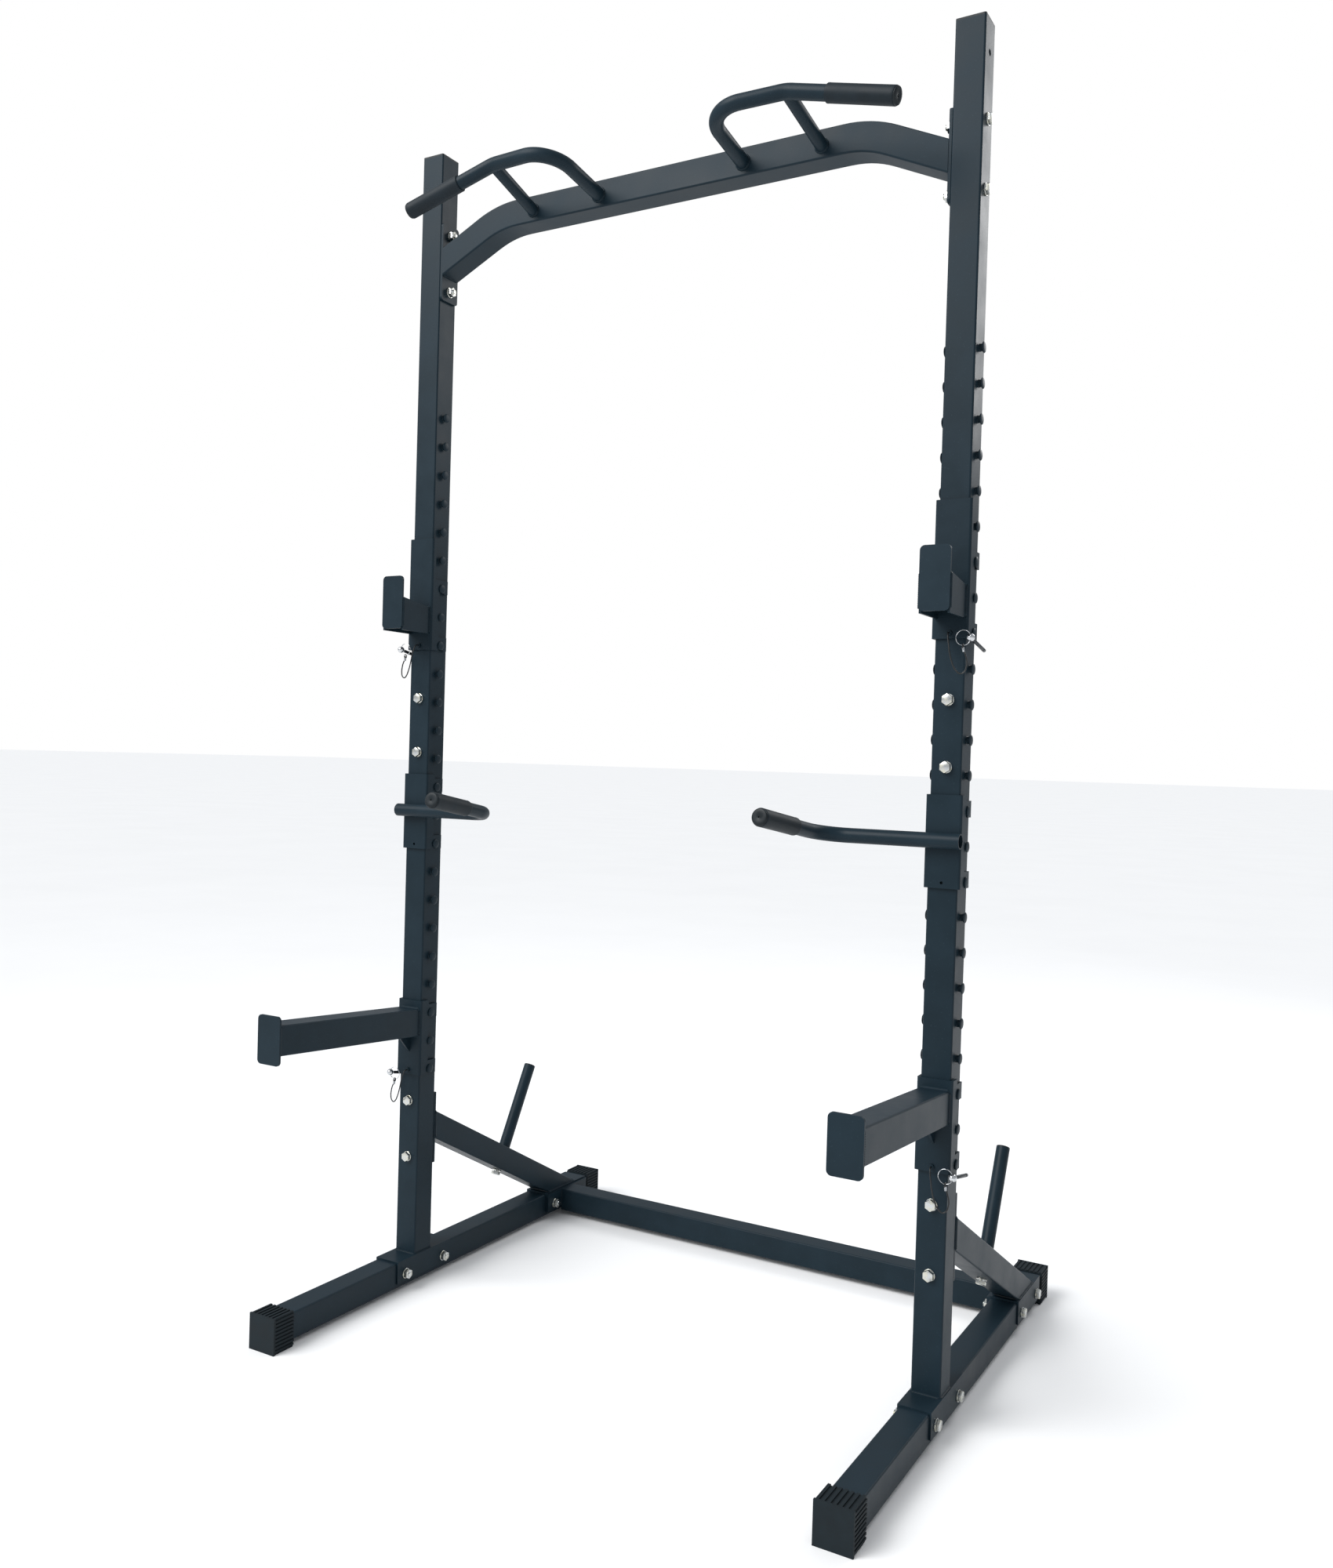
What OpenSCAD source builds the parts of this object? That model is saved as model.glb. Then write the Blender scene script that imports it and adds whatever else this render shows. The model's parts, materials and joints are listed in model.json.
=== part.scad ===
// Half rack (power cage) with stud-mounted J-hooks, dip handles and spotter arms.
// Millimetres, +Z up, +Y to the rear, origin on the floor at the centre of the outline.

/* [Frame] */
// Distance between the centre lines of the two uprights
rack_width = 1094; // [1040:1:1140]
// Height of the upright tubes' top end above the floor
rack_height = 2264; // [2240:1:2320]
// Outside size of the square frame tube
tube = 50; // [50:1:52]
// Wall thickness of the frame tube
wall = 2; // [1.5:0.1:3]
// Outside corner radius of the frame tube
tube_round = 3; // [2.5:0.1:4]
// Floor to the underside of the base tubes
base_lift = 10; // [6:1:12]
// Front face of the front foot caps, measured forward from the uprights
base_front = 404; // [380:1:430]
// Rear face of the rear foot caps, measured backward from the uprights
base_rear = 648; // [640:1:680]
// Height of the joint between lower and upper upright
splice_z = 1130; // [1128:1:1132]

/* [Studs] */
// Number of studs on each side face of an upright
stud_count = 24; // [24:1:24]
// Vertical distance from stud to stud
stud_pitch = 57; // [57:0.1:57.2]
// Height of the lowest stud
stud_low_z = 436; // [434:1:438]
// Diameter of a stud's neck, which carries a bracket
stud_d = 12; // [11:0.5:12]
// Diameter of a stud's head
stud_head_d = 18; // [17:0.5:18]
// How far a stud stands out of the upright, neck and head together
stud_h = 8.5; // [8:0.5:9]

/* [Pull-up bar] */
// Height of the pull-up bar's raised middle, at its centre line
bar_z = 2117; // [2110:1:2120]
// Half the length of the level middle
bar_level = 335; // [320:1:345]
// Angle of the two bent-down ends
bar_angle = 25; // [23:1:27]
// Centre-line radius of the two bends
bar_bend_r = 200; // [180:5:210]
// Outside diameter of the grip and dip handle tube
grip_d = 25; // [24:0.5:26]
// Outside diameter of the rubber sleeves
sleeve_d = 30; // [29:0.5:31]

/* [Brackets] */
// Outside width of the sliding brackets
bracket_w = 60; // [60:0.5:61]
// Plate thickness of the brackets
plate = 4; // [3:0.5:4]
// Gap between a bracket and the upright's front face
bracket_gap = 0.8; // [0.5:0.1:1]
// Rear end of the hook tabs, behind the upright's centre
tab_reach = 22; // [20:1:24]

/* [Spotter arms] */
// Front face of the arms' end plates, measured forward from the uprights
arm_front = 404; // [380:1:404]
// Rise of the arm towards its front end
arm_angle = 4; // [3:0.5:5]

/* [Brace and pegs] */
// Downward slope of the two braces
brace_angle = 28.3; // [28:0.1:28.6]
// Length of the plate pegs above the brace
peg_l = 192; // [170:1:210]
// Diameter of the plate pegs
peg_d = 25; // [24:0.5:26]

/* [Hidden] */

half = tube / 2;
side_x = rack_width / 2;
// Shifts the frame so that the origin is under the centre of the outline
frame_y = (base_front - base_rear) / 2;
base_top = base_lift + tube;
base_mid = base_lift + half;

// Powder coats, rubbers and metals
STEEL = [0.17, 0.20, 0.22];
RUBBER = [0.06, 0.07, 0.07];
ZINC = [0.75, 0.76, 0.78];
CHROME = [0.70, 0.71, 0.73];
CORD = [0.05, 0.05, 0.05];

// Foot caps
cap_l = 48;
cap_w = 61;
cap_h = 65;
cap_wall = 4;
cap_rib = 2;
cap_rib_w = 3.6;

// Saddles: inverted channels that straddle the base tubes
saddle_gap = 0.2;
saddle_t = 3;
saddle_low = 19.5;
saddle_half = half + saddle_gap + saddle_t;
saddle_top = base_top + saddle_t;
front_saddle = [-78, 84];
rear_saddle = [432, 590];
front_bolts = [-54, 60];
rear_bolts = [458, 565];

// Splice
splice_half = 95;
splice_bolt_dz = 54;
sleeve_wall = 3;
splice_fit = 0.3;

// Studs
stud_zs = [for (k = [0 : stud_count - 1]) stud_low_z + k * stud_pitch];
spigot_d = 8;
slot_r = stud_d / 2 + 0.5;
stud_neck = bracket_w / 2 - half + 0.5;

// Fasteners: M10 hexagon bolts, nuts and plain washers
bolt_d = 10;
bolt_hole = 11;
hex_corner = 19.6;
head_h = 6.4;
nut_h = 8;
washer_d = 20;
washer_t = 2;
bolt_past_nut = 3;

// Pull-up bar
end_plate_t = 5;
end_plate_w = 48;
end_plate_z = [1978, 2130];
pull_up_bolts_z = [1998, 2109];
spare_hole_z = 2214;
bar_end_x = side_x - half - end_plate_t;

// Grips: weld, corner, bend and end of the right-hand one
grip_weld = [149, -half, 2115];
grip_corner = [152, -178, 2137];
grip_knee = [292, -158, 2145];
grip_end = [483, -163, 2093];
grip_stay_weld = [297, -half, 2113];
grip_corner_r = 56;
grip_knee_r = 60;
grip_bore = grip_d - 2 * wall;
stay_d = grip_d - 3;
grip_sleeve_l = 122;
plug_t = 3;

// A bend runs a little onto its straight legs and is this much thicker than they are
bend_over = 1;
bend_step = 0.1;

// Cross tube and its end plates
cross_y = 511;
cross_plate_t = 5;
cross_end = side_x - saddle_half - cross_plate_t;

// Brace: starts at the upright's rear face, ends on the rear saddle
brace_plate_t = 5;
brace_plate_z = [237, 381];
brace_bolts_z = [258, 372];
brace_z = 314;
brace_y = half + brace_plate_t;
peg_along = 293;
peg_foot_l = 14;

// Brackets, in heights above the lower of the two studs that carry them
bracket_front = -(half + bracket_gap + plate);
tab_low = -10;
tab_high = 17;
bracket_high = 26;
hook_span = 2 * stud_pitch;
j_stud_z = stud_zs[15];
dip_stud_z = stud_zs[8];
arm_stud_z = stud_zs[0];
lanyard_hole_up = 9;
lanyard_hole_d = 5;

// J-hook: heights above its lower stud
j_plate_top = 212;
j_tray_low = 22;
j_tray_back = 74;
j_tray_front = 86;
j_tray_w = 50;
j_tray_y = -108;
j_lip_low = 25;
j_lip_high = 127;
j_lip_w = 50;

// Spotter arm
arm_h = 55;
arm_back_up = 96.5;
arm_plate = [54, 88];
top_weld = 3;

// Dip handle
dip_up = 67;
dip_start_x = 33;
dip_corner = [side_x - 342, -245];
dip_end_x = side_x - 325;
dip_rise = 32;
dip_bend_r = 55;
dip_sleeve_l = 112;
dip_y = bracket_front - grip_d / 2 + 0.6;

// Lock pin: knob at the bracket's lower front corner, shank towards the rear
knob = [38, -40, 0];
knob_r = 6.5;
pin_d = 6;
pin_l = 78;
pin_droop = 11;
ring_r = 12;
ring_wire = 1;

// Lanyard: from the boss on the bracket's front plate down round a loop to the pin's ring
lanyard_d = 2.4;
boss_d = 8;
boss_h = 3;
lanyard_route = [
    [0, -32.8, 9], [0, -37, 9], [1, -41, 6], [2, -43, 0], [4, -45, -10], [6, -46, -22],
    [9, -46, -34], [13, -46, -45], [18, -45, -53], [24, -44, -57], [30, -43, -54],
    [33, -42, -46], [33, -41, -36], [30, -41, -26], [27, -40, -19], [26, -40, -13.2]
];

// ---- helpers ----

// Rectangle with round corners, centred
module round_rect(w, h, r) {
    square([w - 2 * r, h], center = true);
    square([w, h - 2 * r], center = true);
    for (x = [-1, 1], y = [-1, 1]) translate([x * (w / 2 - r), y * (h / 2 - r)]) circle(r, $fn = 32);
}

// Cross-section of a rectangular tube
module tube_section(w, h, t, r) {
    difference() {
        round_rect(w, h, r);
        round_rect(w - 2 * t, h - 2 * t, max(r - t, 0.5));
    }
}

// Turns a shape drawn in (y, z) into a slab of thickness t across x, centred
module across_x(t) {
    rotate([90, 0, 90]) linear_extrude(t, center = true) children();
}

// Draws its children on the right, or mirrored on the left
module on_side(s) {
    mirror([s < 0 ? 1 : 0, 0, 0]) children();
}

// Same, with x measured outwards from the upright's centre line
module at_upright(s) {
    on_side(s) translate([side_x, 0, 0]) children();
}

function unit(v) = v / norm(v);
function any_normal(d) = unit(cross(d, abs(d[2]) > 0.9 ? [1, 0, 0] : [0, 0, 1]));
function frame_matrix(ex, ey, ez, o) = [
    [ex[0], ey[0], ez[0], o[0]],
    [ex[1], ey[1], ez[1], o[1]],
    [ex[2], ey[2], ez[2], o[2]],
    [0, 0, 0, 1]
];

// Places children with their z axis from a towards b
module along(a, b) {
    ez = unit(b - a);
    ex = any_normal(ez);
    multmatrix(frame_matrix(ex, cross(ez, ex), ez, a)) children();
}

// Straight round rod from a to b
module rod(a, b, d) {
    along(a, b) cylinder(h = norm(b - a), d = d, $fn = 48);
}

// Straight round pipe from a to b
module pipe(a, b, od, id) {
    difference() {
        rod(a, b, od);
        rod(a - unit(b - a), b + unit(b - a), id);
    }
}

// How far from a corner its bend starts
function bend_trim(a, c, b, r) = r / tan(acos(unit(a - c) * unit(b - c)) / 2);

// The bend itself, between the legs from a and to b, running bend_over onto each of them
module rod_bend(a, c, b, r, d) {
    u = unit(a - c);
    v = unit(b - c);
    between = acos(u * v);
    over = bend_over / r * 180 / PI;
    start = c + u * bend_trim(a, c, b, r);
    finish = c + v * bend_trim(a, c, b, r);
    centre = c + unit(u + v) * r / sin(between / 2);
    ex = unit(start - centre);
    ez = unit(cross(start - centre, finish - centre));
    multmatrix(frame_matrix(ex, cross(ez, ex), ez, centre)) rotate([0, 0, -over])
        rotate_extrude(angle = 180 - between + 2 * over, $fn = 96)
            translate([r, 0]) circle(d = d + bend_step, $fn = 48);
}

// Rod of diameter d from a by way of the bends at the corners cs (radii rs) to b
module bent_rod(a, cs, rs, b, d) {
    pts = concat([a], cs, [b]);
    for (i = [0 : len(cs)]) {
        u = unit(pts[i + 1] - pts[i]);
        from = i == 0 ? a : pts[i] + u * bend_trim(pts[i - 1], pts[i], pts[i + 1], rs[i - 1]);
        to = i == len(cs) ? b : pts[i + 1] - u * bend_trim(pts[i], pts[i + 1], pts[i + 2], rs[i]);
        rod(from, to, d);
    }
    for (i = [1 : len(cs)]) rod_bend(pts[i - 1], pts[i], pts[i + 1], rs[i - 1], d);
}

// ---- fasteners: z runs from the seat under the head to the nut ----

module hex_bolt(grip) {
    translate([0, 0, -head_h]) cylinder(h = head_h, d = hex_corner, $fn = 6);
    cylinder(h = grip + nut_h + bolt_past_nut, d = bolt_d, $fn = 32);
}

module hex_nut() {
    difference() {
        cylinder(h = nut_h, d = hex_corner, $fn = 6);
        translate([0, 0, -1]) cylinder(h = nut_h + 2, d = bolt_d + 0.1, $fn = 32);
    }
}

module plain_washer() {
    difference() {
        cylinder(h = washer_t, d = washer_d, $fn = 40);
        translate([0, 0, -1]) cylinder(h = washer_t + 2, d = bolt_d + 0.6, $fn = 32);
    }
}

// One fastener's piece: what = 0 bolt, 1 nut, 2 pair of washers; stack is the clamped thickness
module fastener(what, stack) {
    if (what == 0) translate([0, 0, -washer_t]) hex_bolt(stack + 2 * washer_t);
    if (what == 1) translate([0, 0, stack + washer_t]) hex_nut();
    if (what == 2) {
        translate([0, 0, -washer_t]) plain_washer();
        translate([0, 0, stack]) plain_washer();
    }
}

module saddle_fasteners(what) {
    for (s = [-1, 1]) at_upright(s) {
        for (y = front_bolts) translate([saddle_half, y, base_mid]) rotate([0, -90, 0])
            fastener(what, 2 * saddle_half);
        for (y = rear_bolts) translate([saddle_half, y, base_mid]) rotate([0, -90, 0])
            fastener(what, 2 * saddle_half + cross_plate_t);
    }
}

module upright_fasteners(what) {
    for (s = [-1, 1]) at_upright(s) {
        for (z = [splice_z - splice_bolt_dz, splice_z + splice_bolt_dz])
            translate([0, -half, z]) rotate([-90, 0, 0]) fastener(what, tube);
        for (z = brace_bolts_z)
            translate([0, -half, z]) rotate([-90, 0, 0]) fastener(what, tube + brace_plate_t);
    }
}

module pull_up_fasteners(what) {
    for (s = [-1, 1], z = pull_up_bolts_z)
        at_upright(s) translate([half, 0, z]) rotate([0, -90, 0]) fastener(what, tube + end_plate_t);
}

// ---- frame ----

module base_tube(s) {
    color(STEEL) at_upright(s) difference() {
        translate([0, -base_front + cap_wall, base_mid]) rotate([-90, 0, 0])
            linear_extrude(base_front + base_rear - 2 * cap_wall) tube_section(tube, tube, wall, tube_round);
        for (y = concat(front_bolts, rear_bolts)) translate([0, y, base_mid]) rotate([0, 90, 0])
            cylinder(h = tube + 2, d = bolt_hole, center = true, $fn = 32);
    }
}

// Moulded rubber cap, drawn with its closed end at y = 0 and its mouth towards +y
module foot_cap_shape() {
    body_w = cap_w - 2 * cap_rib;
    body_h = cap_h - cap_rib;
    side_ribs = 9;
    top_ribs = 7;
    difference() {
        union() {
            translate([-body_w / 2, 0, 2]) cube([body_w, cap_l, body_h - 2]);
            translate([-cap_w / 2, 0, 0]) cube([cap_w, cap_wall, cap_h]);
            for (i = [0 : side_ribs - 1], sx = [-1, 1])
                translate([sx * (cap_w - cap_rib_w) / 2 - cap_rib_w / 2, 0, 4 + i * (cap_h - 8 - cap_rib_w) / (side_ribs - 1)])
                    cube([cap_rib_w, cap_l, cap_rib_w]);
            for (i = [0 : top_ribs - 1]) {
                rib_x = -body_w / 2 + i * (body_w - cap_rib_w - 1) / (top_ribs - 1);
                translate([rib_x, 0, body_h - 1]) cube([cap_rib_w + 1, cap_l, cap_rib + 1]);
                translate([rib_x, 0, 0]) cube([cap_rib_w + 1, cap_l, cap_rib + 1]);
            }
        }
        translate([0, cap_wall, base_mid]) rotate([-90, 0, 0])
            linear_extrude(cap_l) round_rect(tube, tube, tube_round);
    }
}

module foot_cap(s, rear) {
    color(RUBBER) at_upright(s)
        translate([0, rear ? base_rear : -base_front, 0])
            rotate([0, 0, rear ? 180 : 0]) foot_cap_shape();
}

// Inverted channel over a base tube, from span[0] to span[1] along y, with its bolt holes
module saddle(span, bolts) {
    difference() {
        translate([-saddle_half, span[0], saddle_low])
            cube([2 * saddle_half, span[1] - span[0], saddle_top - saddle_low]);
        translate([-half - saddle_gap, span[0] - 1, saddle_low - 1])
            cube([tube + 2 * saddle_gap, span[1] - span[0] + 2, base_top - saddle_low + 1]);
        for (y = bolts) translate([0, y, base_mid]) rotate([0, 90, 0])
            cylinder(h = 3 * tube, d = bolt_hole, center = true, $fn = 32);
    }
}

module upright_tube(z0, z1) {
    translate([0, 0, z0]) linear_extrude(z1 - z0) tube_section(tube, tube, wall, tube_round);
}

module drill_studs() {
    for (z = stud_zs) translate([0, 0, z]) rotate([0, 90, 0])
        cylinder(h = tube + 2, d = spigot_d, center = true, $fn = 32);
}

module drill_front_back(zs) {
    for (z = zs) translate([0, 0, z]) rotate([90, 0, 0])
        cylinder(h = 3 * tube, d = bolt_hole, center = true, $fn = 32);
}

module lower_upright(s) {
    color(STEEL) at_upright(s) {
        difference() {
            upright_tube(saddle_top, splice_z);
            drill_studs();
            drill_front_back(concat(brace_bolts_z, [splice_z - splice_bolt_dz]));
        }
        saddle(front_saddle, front_bolts);
    }
}

module upper_upright(s) {
    color(STEEL) at_upright(s) difference() {
        upright_tube(splice_z, rack_height);
        drill_studs();
        drill_front_back([splice_z + splice_bolt_dz]);
        for (z = concat(pull_up_bolts_z, [spare_hole_z])) translate([0, 0, z]) rotate([0, 90, 0])
            cylinder(h = tube + 2, d = bolt_hole, center = true, $fn = 32);
    }
}

module splice_sleeve(s) {
    color(STEEL) at_upright(s) difference() {
        translate([0, 0, splice_z - splice_half]) linear_extrude(2 * splice_half)
            tube_section(tube - 2 * wall - 2 * splice_fit, tube - 2 * wall - 2 * splice_fit, sleeve_wall, 2);
        drill_front_back([splice_z - splice_bolt_dz, splice_z + splice_bolt_dz]);
    }
}

module top_cap(s) {
    cap_t = 3;
    plug_l = 20;
    color(RUBBER) at_upright(s) {
        translate([0, 0, rack_height]) linear_extrude(cap_t) round_rect(tube, tube, tube_round);
        translate([0, 0, rack_height - plug_l]) linear_extrude(plug_l + 1)
            tube_section(tube - 2 * wall - 0.4, tube - 2 * wall - 0.4, wall, 2);
    }
}

// A stud: spigot through the wall, neck for a bracket's slot, round head; x points out of the upright
module stud() {
    chamfer = 1.2;
    rotate([0, 90, 0]) {
        translate([0, 0, -wall]) cylinder(h = wall + 1, d = spigot_d, $fn = 32);
        cylinder(h = stud_neck + 1, d = stud_d, $fn = 32);
        translate([0, 0, stud_neck]) cylinder(h = stud_h - stud_neck - chamfer, d = stud_head_d, $fn = 48);
        translate([0, 0, stud_h - chamfer])
            cylinder(h = chamfer, d1 = stud_head_d, d2 = stud_head_d - 2 * chamfer, $fn = 48);
    }
}

module studs(s) {
    color(STEEL) at_upright(s) for (z = stud_zs, face = [0, 180])
        translate([0, 0, z]) rotate([0, 0, face]) translate([half, 0, 0]) stud();
}

module brace(s) {
    fall = [cos(brace_angle), -sin(brace_angle)];
    tube_l = (brace_z - saddle_top) / sin(brace_angle) + tube;
    color(STEEL) at_upright(s) {
        difference() {
            union() {
                intersection() {
                    translate([0, brace_y - tube * fall[0], brace_z - tube * fall[1]])
                        rotate([-90 - brace_angle, 0, 0])
                            linear_extrude(tube_l + tube) tube_section(tube, tube, wall, tube_round);
                    translate([-tube, brace_y, saddle_top]) cube([2 * tube, base_rear, rack_height / 2]);
                }
                translate([-half, half, brace_plate_z[0]])
                    cube([tube, brace_plate_t, brace_plate_z[1] - brace_plate_z[0]]);
            }
            drill_front_back(brace_bolts_z);
            translate([0, brace_y + peg_along * fall[0], brace_z + peg_along * fall[1]])
                rotate([-brace_angle, 0, 0]) cylinder(h = 2 * tube, d = bolt_hole, center = true, $fn = 32);
        }
        saddle(rear_saddle, rear_bolts);
    }
}

// Places children on the brace's centre line under the peg, z along the peg
module at_peg() {
    translate([0, brace_y + peg_along * cos(brace_angle), brace_z - peg_along * sin(brace_angle)])
        rotate([-brace_angle, 0, 0]) children();
}

module plate_peg(s) {
    color(STEEL) at_upright(s) at_peg() translate([0, 0, half]) difference() {
        cylinder(h = peg_l - plug_t, d = peg_d, $fn = 48);
        translate([0, 0, peg_foot_l]) cylinder(h = peg_l, d = peg_d - 2 * wall, $fn = 48);
        translate([0, 0, -1]) cylinder(h = peg_l, d = bolt_d + 0.1, $fn = 32);
    }
}

// Round end plug with its face at z = 0 and its stem towards -z
module round_plug(face_d, bore_d) {
    stem = 16;
    difference() {
        union() {
            translate([0, 0, -plug_t]) cylinder(h = plug_t - 1, d = face_d, $fn = 48);
            translate([0, 0, -1]) cylinder(h = 1, d1 = face_d, d2 = face_d - 2, $fn = 48);
            translate([0, 0, -plug_t - stem]) cylinder(h = stem, d = bore_d - 0.4, $fn = 48);
        }
        translate([0, 0, -2]) cylinder(h = 3, d = 3.5, $fn = 24);
    }
}

module peg_plug(s) {
    color(RUBBER) at_upright(s) at_peg() translate([0, 0, half + peg_l]) round_plug(peg_d, peg_d - 2 * wall);
}

module peg_bolts() {
    color(ZINC) for (s = [-1, 1]) at_upright(s) at_peg() translate([0, 0, -half - washer_t])
        hex_bolt(tube + washer_t);
}

module rear_cross_tube() {
    color(STEEL) {
        translate([-cross_end, cross_y, base_mid]) rotate([90, 0, 90])
            linear_extrude(2 * cross_end) tube_section(tube, tube, wall, tube_round);
        for (s = [-1, 1]) on_side(s) difference() {
            translate([cross_end, rear_saddle[0], saddle_low])
                cube([cross_plate_t, rear_saddle[1] - rear_saddle[0], base_top - saddle_low]);
            for (y = rear_bolts) translate([cross_end, y, base_mid]) rotate([0, 90, 0])
                cylinder(h = 3 * cross_plate_t, d = bolt_hole, center = true, $fn = 32);
        }
    }
}

// ---- pull-up bar ----

// The bar's run of w by w section (corner radius r), from end plate to end plate
module bar_run(w, r) {
    knee = [bar_level + bar_bend_r * sin(bar_angle), bar_z - bar_bend_r * (1 - cos(bar_angle))];
    end_l = (bar_end_x - knee[0]) / cos(bar_angle) + tube;
    over = bend_over / bar_bend_r * 180 / PI;
    translate([-bar_level, 0, bar_z]) rotate([90, 0, 90]) linear_extrude(2 * bar_level) round_rect(w, w, r);
    for (s = [-1, 1]) on_side(s) {
        translate([bar_level, 0, bar_z - bar_bend_r]) rotate([90, 0, 0]) rotate([0, 0, 90 - bar_angle - over])
            rotate_extrude(angle = bar_angle + 2 * over, $fn = 128) translate([bar_bend_r, 0])
                round_rect(w + bend_step, w + bend_step, r);
        intersection() {
            translate([knee[0], 0, knee[1]]) rotate([0, 90 + bar_angle, 0])
                linear_extrude(end_l) round_rect(w, w, r);
            translate([0, -tube, end_plate_z[0]]) cube([bar_end_x, 2 * tube, 2 * tube + bar_bend_r]);
        }
    }
}

module pull_up_bar() {
    color(STEEL) {
        difference() {
            bar_run(tube, tube_round);
            bar_run(tube - 2 * wall, tube_round - wall);
        }
        for (s = [-1, 1]) on_side(s) difference() {
            translate([bar_end_x + end_plate_t / 2, 0, (end_plate_z[0] + end_plate_z[1]) / 2])
                across_x(end_plate_t) round_rect(end_plate_w, end_plate_z[1] - end_plate_z[0], 6);
            for (z = pull_up_bolts_z) translate([bar_end_x, 0, z]) rotate([0, 90, 0])
                cylinder(h = 4 * end_plate_t, d = bolt_hole, center = true, $fn = 32);
        }
    }
}

grip_dir = unit(grip_end - grip_knee);
grip_tube_end = grip_end - plug_t * grip_dir;

module grip(s) {
    into_bar = 10;
    leg = unit(grip_weld - grip_corner);
    stay = unit(grip_stay_weld - grip_knee);
    corners = [grip_corner, grip_knee];
    radii = [grip_corner_r, grip_knee_r];
    color(STEEL) on_side(s) difference() {
        union() {
            bent_rod(grip_weld + into_bar * leg, corners, radii, grip_tube_end, grip_d);
            rod(grip_knee + 4 * stay, grip_stay_weld + into_bar * stay, stay_d);
        }
        bent_rod(grip_weld + 2 * into_bar * leg, corners, radii, grip_tube_end + grip_dir, grip_bore);
        rod(grip_knee + (grip_d / 2 + 3) * stay, grip_stay_weld + 2 * into_bar * stay, stay_d - 2 * wall);
        translate([0, -half, bar_z - 2 * tube]) cube([side_x, tube, 4 * tube]);
    }
}

module grip_sleeve(s) {
    color(RUBBER) on_side(s) pipe(grip_end - grip_sleeve_l * grip_dir, grip_tube_end, sleeve_d, grip_d + 0.2);
}

module grip_plug(s) {
    color(RUBBER) on_side(s) along(grip_end, grip_end + grip_dir) round_plug(sleeve_d - 2, grip_bore);
}

// ---- sliding brackets, drawn about the upright's centre line ----

// Side outline in (y, z) of one bracket; zs is the lower stud, top the plate's upper end
module bracket_outline(zs, top, shoulder) {
    rear = -slot_r;
    translate([bracket_front, zs + tab_low]) square([rear - bracket_front, shoulder - zs - tab_low]);
    translate([bracket_front, zs + tab_low]) square([plate + 6, top - zs - tab_low]);
    for (z = [zs, zs + hook_span]) difference() {
        translate([(rear - 2 + tab_reach) / 2, z + (tab_low + tab_high) / 2])
            round_rect(tab_reach - rear + 2, tab_high - tab_low, 3);
        translate([0, z]) circle(slot_r, $fn = 40);
        translate([-slot_r, z - stud_pitch / 2]) square([2 * slot_r, stud_pitch / 2]);
    }
}

// Channel section in (x, y), open to the rear
module bracket_section() {
    depth = tab_reach - bracket_front;
    translate([0, bracket_front + depth / 2]) difference() {
        round_rect(bracket_w, depth, plate);
        translate([0, plate]) round_rect(bracket_w - 2 * plate, depth, 1);
        translate([-bracket_w, depth / 2 - plate]) square([2 * bracket_w, plate]);
    }
}

module bracket(zs, top, shoulder) {
    difference() {
        intersection() {
            translate([0, 0, zs + tab_low]) linear_extrude(top - zs - tab_low) bracket_section();
            across_x(2 * bracket_w) bracket_outline(zs, top, shoulder);
        }
        translate([0, bracket_front, zs + tab_low + lanyard_hole_up]) rotate([90, 0, 0])
            cylinder(h = 4 * plate, d = lanyard_hole_d, center = true, $fn = 24);
    }
}

// Riveted boss that holds the lanyard's end in front of the plate
module lanyard_boss(zs) {
    translate([0, bracket_front, zs + tab_low + lanyard_hole_up]) rotate([90, 0, 0]) {
        cylinder(h = boss_h, d = boss_d, $fn = 32);
        translate([0, 0, -plate + 0.5]) cylinder(h = plate, d = lanyard_hole_d, $fn = 24);
    }
}

// weld fillet where the top of a tray or arm meets the bracket's front plate; its root is buried in both
module top_fillet(w, top) {
    across_x(w) polygon([
        [bracket_front + 0.5, top + top_weld], [bracket_front + 0.5, top - 1],
        [bracket_front - top_weld - 1, top - 0.5]
    ]);
}

module j_hook(s) {
    zs = j_stud_z;
    weld = bracket_front + 0.5;
    color(STEEL) at_upright(s) {
        bracket(zs, zs + j_plate_top, zs + hook_span + tab_high);
        lanyard_boss(zs);
        top_fillet(j_tray_w + 2, zs + j_tray_back);
        difference() {
            across_x(j_tray_w) polygon([
                [j_tray_y, zs + j_tray_low], [weld, zs + j_tray_low],
                [weld, zs + j_tray_back], [j_tray_y, zs + j_tray_front]
            ]);
            across_x(j_tray_w - 2 * plate) polygon([
                [j_tray_y - 1, zs + j_tray_low - 1], [weld - 1, zs + j_tray_low - 1],
                [weld - 1, zs + j_tray_back - plate], [j_tray_y - 1, zs + j_tray_front - plate]
            ]);
        }
        translate([0, j_tray_y + 0.5, zs + (j_lip_low + j_lip_high) / 2]) rotate([90, 0, 0])
            linear_extrude(plate) round_rect(j_lip_w, j_lip_high - j_lip_low, 8);
    }
}

// Dip handle: corner and end of its tube
function dip_a() = [dip_start_x, dip_y, dip_stud_z + dip_up];
function dip_c() = [-dip_corner[0], dip_y, dip_stud_z + dip_up];
function dip_e() = [-dip_end_x, dip_corner[1], dip_stud_z + dip_up + dip_rise];
dip_dir = unit(dip_e() - dip_c());
dip_tube_end = dip_e() - plug_t * dip_dir;

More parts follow.
